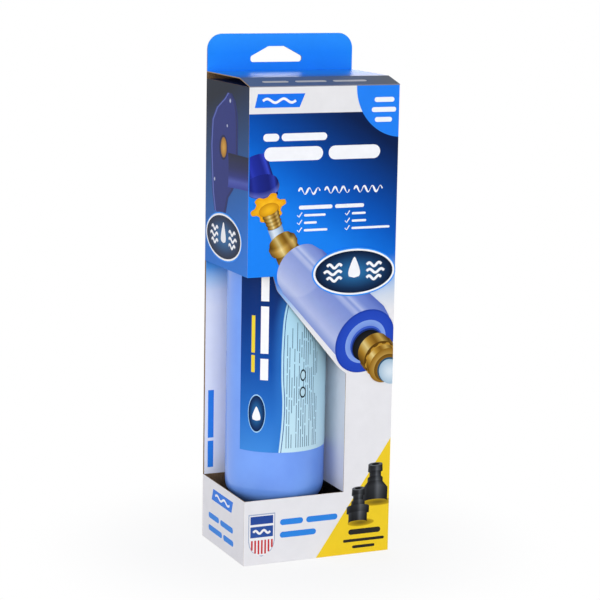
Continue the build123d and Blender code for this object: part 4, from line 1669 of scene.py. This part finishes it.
class RidgeRing:
    """Geometry Nodes: small upright ridges repeated round a circle."""

    def __init__(self, name: str) -> None:
        """Makes the node group with its named inputs.

        Args:
            name: the piece's name.
        """
        self.name = name
        tree = self.group = bpy.data.node_groups.new(name, "GeometryNodeTree")
        self.sockets: dict[str, str] = {}
        for label, kind in (("Count", "Int"), ("Radius", "Float"), ("Height", "Float"), ("Width", "Float"),
                            ("Middle", "Vector"), ("Finish", "Material")):
            socket = tree.interface.new_socket(label, in_out="INPUT", socket_type=f"NodeSocket{kind}")
            self.sockets[label] = socket.identifier
        tree.interface.new_socket("Geometry", in_out="OUTPUT", socket_type="NodeSocketGeometry")
        given = add_node(tree, "NodeGroupInput").outputs
        circle = add_node(tree, "GeometryNodeMeshCircle", inputs={
            "Vertices": given["Count"], "Radius": given["Radius"]})
        ridge = add_node(tree, "GeometryNodeMeshCylinder", inputs={
            "Vertices": 12, "Radius": given["Width"], "Depth": given["Height"]})
        laid = add_node(tree, "GeometryNodeInstanceOnPoints", inputs={
            "Points": circle.outputs["Mesh"], "Instance": ridge.outputs["Mesh"]})
        real = add_node(tree, "GeometryNodeRealizeInstances", inputs={0: laid.outputs[0]})
        moved = add_node(tree, "GeometryNodeTransform", inputs={
            "Geometry": real.outputs[0], "Translation": given["Middle"]})
        painted = add_node(tree, "GeometryNodeSetMaterial", inputs={
            "Geometry": moved.outputs[0], "Material": given["Finish"]})
        add_node(tree, "NodeGroupOutput", inputs={0: painted.outputs[0]})

    def build(self, count: int, radius: float, height: float, width: float, middle: Point3,
              finish: Material) -> Object:
        """Makes the ridges as one plain mesh; its sizes are in mm.

        Args:
            count: how many.
            radius: the circle they stand on.
            height: their height.
            width: their own radius.
            middle: the middle of the ring.
            finish: their material.

        Returns:
            The object.
        """
        holder = new_object(self.name, [], [], finish)
        change = holder.modifiers.new("repeat", "NODES")
        change.node_group = self.group
        centre = [c * MM for c in middle]
        for label, value in (("Count", count), ("Radius", radius * MM), ("Height", height * MM),
                             ("Width", width * MM), ("Middle", centre), ("Finish", finish)):
            change[self.sockets[label]] = value
        graph = bpy.context.evaluated_depsgraph_get()
        mesh = bpy.data.meshes.new_from_object(holder.evaluated_get(graph))
        holder.modifiers.clear()
        holder.data = mesh
        return holder


@dataclass(frozen=True)
class FilterOutlet:
    """The filter's upper end: threaded outlet with a ridged collar, and the cap's weld bead, all in mm."""

    bore: float = 8.0
    tail: float = 11.0                   # the part that stands in the cap
    tail_flange: float = 14.0
    collar: float = 16.0
    neck: float = 12.3
    thread_from: float = 280.9
    thread_to: float = 294.0
    bead_foot: float = 260.85
    bead_wall: float = 32.05             # the bead reaches this far into the housing's rim
    ridges: int = 30
    ridge_radius: float = 0.45
    ridge_height: float = 5.8
    ridge_middle: float = 274.4

    def thread(self, material: Material) -> Object:
        """Makes the collar, the neck and the male hose thread with real ridges.

        Args:
            material: its nylon.

        Returns:
            The piece that stands for the CAD's.
        """
        low, high, bore, tail = self.thread_from, self.thread_to, self.bore, self.tail
        edge = self.collar - 0.8
        outline = [(bore, 251.1), (self.tail_flange, 251.1), (self.tail_flange, 253.9), (tail, 253.9),
                   (tail, 270.4), (edge, 270.4), (self.collar, 271.2), (self.collar, 277.6), (edge, 278.4),
                   (self.neck, 278.4), (self.neck, low), (MALE_THREAD_R, low), (MALE_THREAD_R, high),
                   (12.6, high + 0.9), (bore, high + 0.9)]
        cut = Thread(MALE_THREAD_R, low, high, 1.05)
        piece = Turned("outlet_collar_and_thread", (FILTER_X, 0.0), outline, (cut,)).build(material)
        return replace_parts(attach(piece, "filter"), "outlet_fitting")

    def bead(self, material: Material) -> Object:
        """Makes the slim bead thrown up where the cap was spun into the housing's rim.

        Args:
            material: the cap's plastic.

        Returns:
            The bead.
        """
        z, wall = self.bead_foot, self.bead_wall
        outline = [(30.5, z), (wall, z), (wall, z + 0.75), (31.7, z + 0.65), (31.2, z + 0.45),
                   (30.8, z + 0.25)]
        piece = Turned("rim_weld_bead", (FILTER_X, 0.0), outline).build(material)
        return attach(piece, "filter")

    def grip(self, material: Material) -> Object:
        """Makes the ridges round the collar, each half sunk in it.

        Args:
            material: the collar's nylon.

        Returns:
            The ridges.
        """
        ribs = RidgeRing("collar_grip_ridges").build(
            self.ridges, self.collar - 0.15, self.ridge_height, self.ridge_radius,
            (FILTER_X, 0.0, self.ridge_middle), material)
        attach(ribs, "filter")
        return ribs


# ---- stage --------------------------------------------------------------------------------------
@dataclass(frozen=True)
class Lamp:
    """A soft square light, in metres and watts."""

    name: str
    place: Point3
    watts: float
    side: float = 1.0
    tone: str = "FFFFFF"

    def build(self, aim: Vector) -> None:
        """Adds the light.

        Args:
            aim: the place that it faces.
        """
        data = bpy.data.lights.new(self.name, "AREA")
        data.shape = "SQUARE"
        data.energy, data.size = self.watts, self.side
        data.color = linear(self.tone)[:3]
        lamp = bpy.data.objects.new(self.name, data)
        lamp.location = self.place
        lamp.rotation_mode = "QUATERNION"
        lamp.rotation_quaternion = (aim - Vector(self.place)).to_track_quat("-Z", "Y")
        bpy.context.scene.collection.objects.link(lamp)


@dataclass(frozen=True)
class Studio:
    """White sweep, soft daylight all round, a large key light in front, weaker ones beside and behind."""

    floor_m: float = 6.0
    floor_drop: float = 0.0002           # the floor lies this far under the carton's base
    around: float = 0.55
    aim: Point3 = (0.0, 0.0, 0.17)
    lamps: tuple[Lamp, ...] = (
        Lamp("key_light", (-0.5, -2.05, 0.5), 17.5, 1.1, "FFFDF8"),
        Lamp("left_fill", (-1.9, -0.7, 0.35), 13.0, tone="FFF6EE"),
        Lamp("rear_fill", (0.9, 2.0, 0.6), 9.0),
        Lamp("right_fill", (2.0, -0.1, 0.4), 9.0))

    def _world(self) -> None:
        """Lights the scene from all round, and shows plain white behind it."""
        world = bpy.data.worlds.new("white_studio")
        world.use_nodes = True
        tree = world.node_tree
        tree.nodes.clear()
        lit, seen = (
            add_node(tree, "ShaderNodeBackground", inputs={"Color": linear(code), "Strength": strength})
            for code, strength in (("F3F6FF", self.around), ("FFFFFF", 1.0)))
        both = add_node(tree, "ShaderNodeMixShader", inputs={
            "Fac": seen_rays(tree), 1: lit.outputs[0], 2: seen.outputs[0]})
        add_node(tree, "ShaderNodeOutputWorld", inputs={"Surface": both.outputs[0]})
        bpy.context.scene.world = world

    def build(self) -> None:
        """Builds the floor, the surroundings and the lights."""
        half = self.floor_m / 2
        corners = [Vector((x, y, -self.floor_drop)) for x, y in (
            (-half, -half), (half, -half), (half, half), (-half, half))]
        new_object("studio_floor", corners, [(0, 1, 2, 3)], PaperFloor().material())
        self._world()
        for lamp in self.lamps:
            lamp.build(Vector(self.aim))


@dataclass(frozen=True)
class Camera:
    """A long lens standing to the left of the front, a little above it; angles are in degrees."""

    place: Point3 = (-0.58119, -1.3070, 0.44006)
    azimuth: float = -24.016
    elevation: float = 10.421
    roll: float = 1.025
    lens_mm: float = 124.16
    sensor_mm: float = 36.0

    def build(self) -> None:
        """Adds the camera to the scene."""
        a, e, r = (math.radians(x) for x in (self.azimuth, self.elevation, self.roll))
        back = Vector((math.sin(a) * math.cos(e), -math.cos(a) * math.cos(e), math.sin(e)))
        right = Vector(UPWARD).cross(back).normalized()
        up = back.cross(right)
        right, up = right * math.cos(r) + up * math.sin(r), up * math.cos(r) - right * math.sin(r)
        data = bpy.data.cameras.new("product_camera")
        data.lens, data.sensor_width = self.lens_mm, self.sensor_mm
        camera = bpy.data.objects.new("product_camera", data)
        turn = Matrix((right, up, back)).transposed()
        camera.matrix_world = Matrix.Translation(self.place) @ turn.to_4x4()
        bpy.context.scene.collection.objects.link(camera)
        bpy.context.scene.camera = camera


# ---- the object ---------------------------------------------------------------------------------
class WaterFilter:
    """Every finish and every added piece of the filter, its two fittings and its carton."""

    def __init__(self, loaded: dict) -> None:
        """Keeps the CAD nodes."""
        self.nodes = loaded["nodes"]

    def _paint(self, material: Material, *names: str) -> None:
        """Gives CAD nodes one material.

        Args:
            material: the finish.
            names: the nodes.
        """
        for name in names:
            mesh = self.nodes[name].data
            mesh.materials.clear()
            mesh.materials.append(material)
            LOG.info("%s: %s", name, material.name)

    def _plastics(self) -> None:
        """Dresses the housing, the cap and the grids, and adds the outlet and the two fittings."""
        # Polypropylene, pigmented periwinkle: a satin skin with a polished mould's gloss over it.
        housing = MouldedPlastic("periwinkle_polypropylene", "6FA0F6", "6796F0", 0.32, coat=0.25)
        self._paint(housing.material(), "housing")
        # The same plastic in royal blue without the gloss: a deeper, evenly satin cap.
        cap = MouldedPlastic("royal_blue_polypropylene_cap", "3450BE", "2C46B0", 0.34).material()
        self._paint(cap, "outlet_cap")
        # Unpigmented polypropylene: milky white and duller, as an inside part is left.
        white = MouldedPlastic("natural_polypropylene", "E9E9E4", "DEDED8", 0.45)
        self._paint(white.material(), "lower_grid", "upper_grid")
        # Glass-filled nylon: black, satin, with a close cloud where fibres reach the surface.
        nylon_finish = MouldedPlastic("black_glass_filled_nylon", "232427", "1B1C1E", 0.42, 12.0, ior=1.53)
        nylon = nylon_finish.material()
        outlet = FilterOutlet()
        for piece in (outlet.thread(nylon), outlet.bead(cap), outlet.grip(nylon), MaleAdapter().build(nylon),
                      FemaleAdapter().build(nylon)):
            LOG.info("%s: %d faces", piece.name, len(piece.data.polygons))

    def _metals(self) -> None:
        """Dresses the inlet's brass, the strainer and the spring."""
        # Yellow brass as turned: warm, bright, with fine rings and duller brown patches.
        brass = TurnedMetal("turned_yellow_brass", "D8B35E", "B48D40")
        self._paint(brass.material(), "inlet_stem", "swivel_nut")
        # Rolled and punched stainless sheet: cool grey, softer in its shine than the brass.
        steel = TurnedMetal("punched_stainless_steel", "C4C5C7", "9C9DA0", 0.3)
        self._paint(steel.material(), "inlet_strainer")
        # Drawn stainless wire: the same grey, a little darker from the drawing.
        wire = TurnedMetal("drawn_stainless_wire", "B9BABD", "8E8F93", 0.28)
        self._paint(wire.material(), "bed_spring")

    def _fill(self) -> None:
        """Dresses the seals, the felts and the two beds."""
        # Moulded nitrile: near black and matt, greyed by its bloom.
        self._paint(Rubber().material(), "outlet_gasket", "inlet_gasket", "hose_washer",
                    "female_adapter_washer", "female_adapter_o_ring", "male_adapter_o_ring")
        # Needled polyester: off-white, quite matt, with a fine uneven nap.
        felt = Granules("needled_polyester_felt", "E6E3D8", "C9C5B8", 0.35, 0.12, 0.95)
        self._paint(felt.material(), "lower_felt", "middle_felt", "upper_felt")
        # Copper-zinc alloy, atomised: brassy grains that glint against brown gaps.
        alloy = Granules("copper_zinc_granules", "D9B262", "7E5A22", 0.9, 0.35, 0.42, 1.0)
        self._paint(alloy.material(), "kdf_bed")
        # Crushed coconut-shell carbon: coarse black grains with a dull sheen.
        carbon = Granules("granular_activated_carbon", "2A2A2C", "0B0B0C", 1.6, 0.7, 0.75)
        self._paint(carbon.material(), "carbon_bed")

    def _label(self) -> None:
        """Dresses the label and prints it."""
        # Gloss-laminated film: saturated navy and pale blue, with a slight ripple in its shine.
        self._paint(PrintedFilm().material(), "label")
        # Ink under the same laminate, so it shines as the film does.
        LabelPrint().build(OffsetInk("label_offset_ink", roughness=0.24).material())

    def _carton(self) -> None:
        """Dresses the boards and flaps, and prints them."""
        # Clay-coated folding board, offset printed: smooth even ink outside, brown fibre inside.
        for finish, outward, art, names in (
                ("front", AHEAD, FrontArt(), ("front_panel",)),
                ("left_header", LEFTWARD, LEFT_ART, ("left_header",)),
                ("left_tray", LEFTWARD, PLAIN_ART, ("left_tray_wall",)),
                ("side_window_flap", AHEAD, WINDOW_ART, ("window_flap_side",)),
                # the partition's greyer colours are painted shade on the window board's colours
                ("partition", LEFTWARD, PARTITION_SHADED_ART, ("window_flap_front",)),
                ("right", RIGHTWARD, RIGHT_ART, ("right_panel", "glue_flap")),
                ("back", REARWARD, BACK_ART, ("back_panel",)),
                ("lid", LID_UPWARD, LidArt(), ("lid",)),
                ("dust_flap", UPWARD, RIGHT_ART, ("dust_flap_left", "dust_flap_right")),
                ("base", DOWNWARD, PLAIN_ART,
                 ("base_panel", "base_side_flap_left", "base_side_flap_right"))):
            self._paint(PrintedBoard(f"coated_board_{finish}", outward, art).material(), *names)
        # Offset ink on that board: solid tones with a faint mottle where the board drank it in.
        ink = OffsetInk("carton_offset_ink").material()
        for part in (FrontPrint(), LidPrint(), LeftPrint()):
            part.build(ink)

    def build(self) -> None:
        """Dresses every CAD node and adds every other piece."""
        for step in (self._plastics, self._metals, self._fill, self._label, self._carton):
            step()


def main() -> None:
    """Builds the object and its studio."""
    logging.basicConfig(level=logging.INFO, format="%(name)s %(message)s")
    WaterFilter(frame).build()
    Studio().build()
    Camera().build()
    bpy.context.scene.view_settings.view_transform = "Standard"


if __name__ == "__main__":
    main()
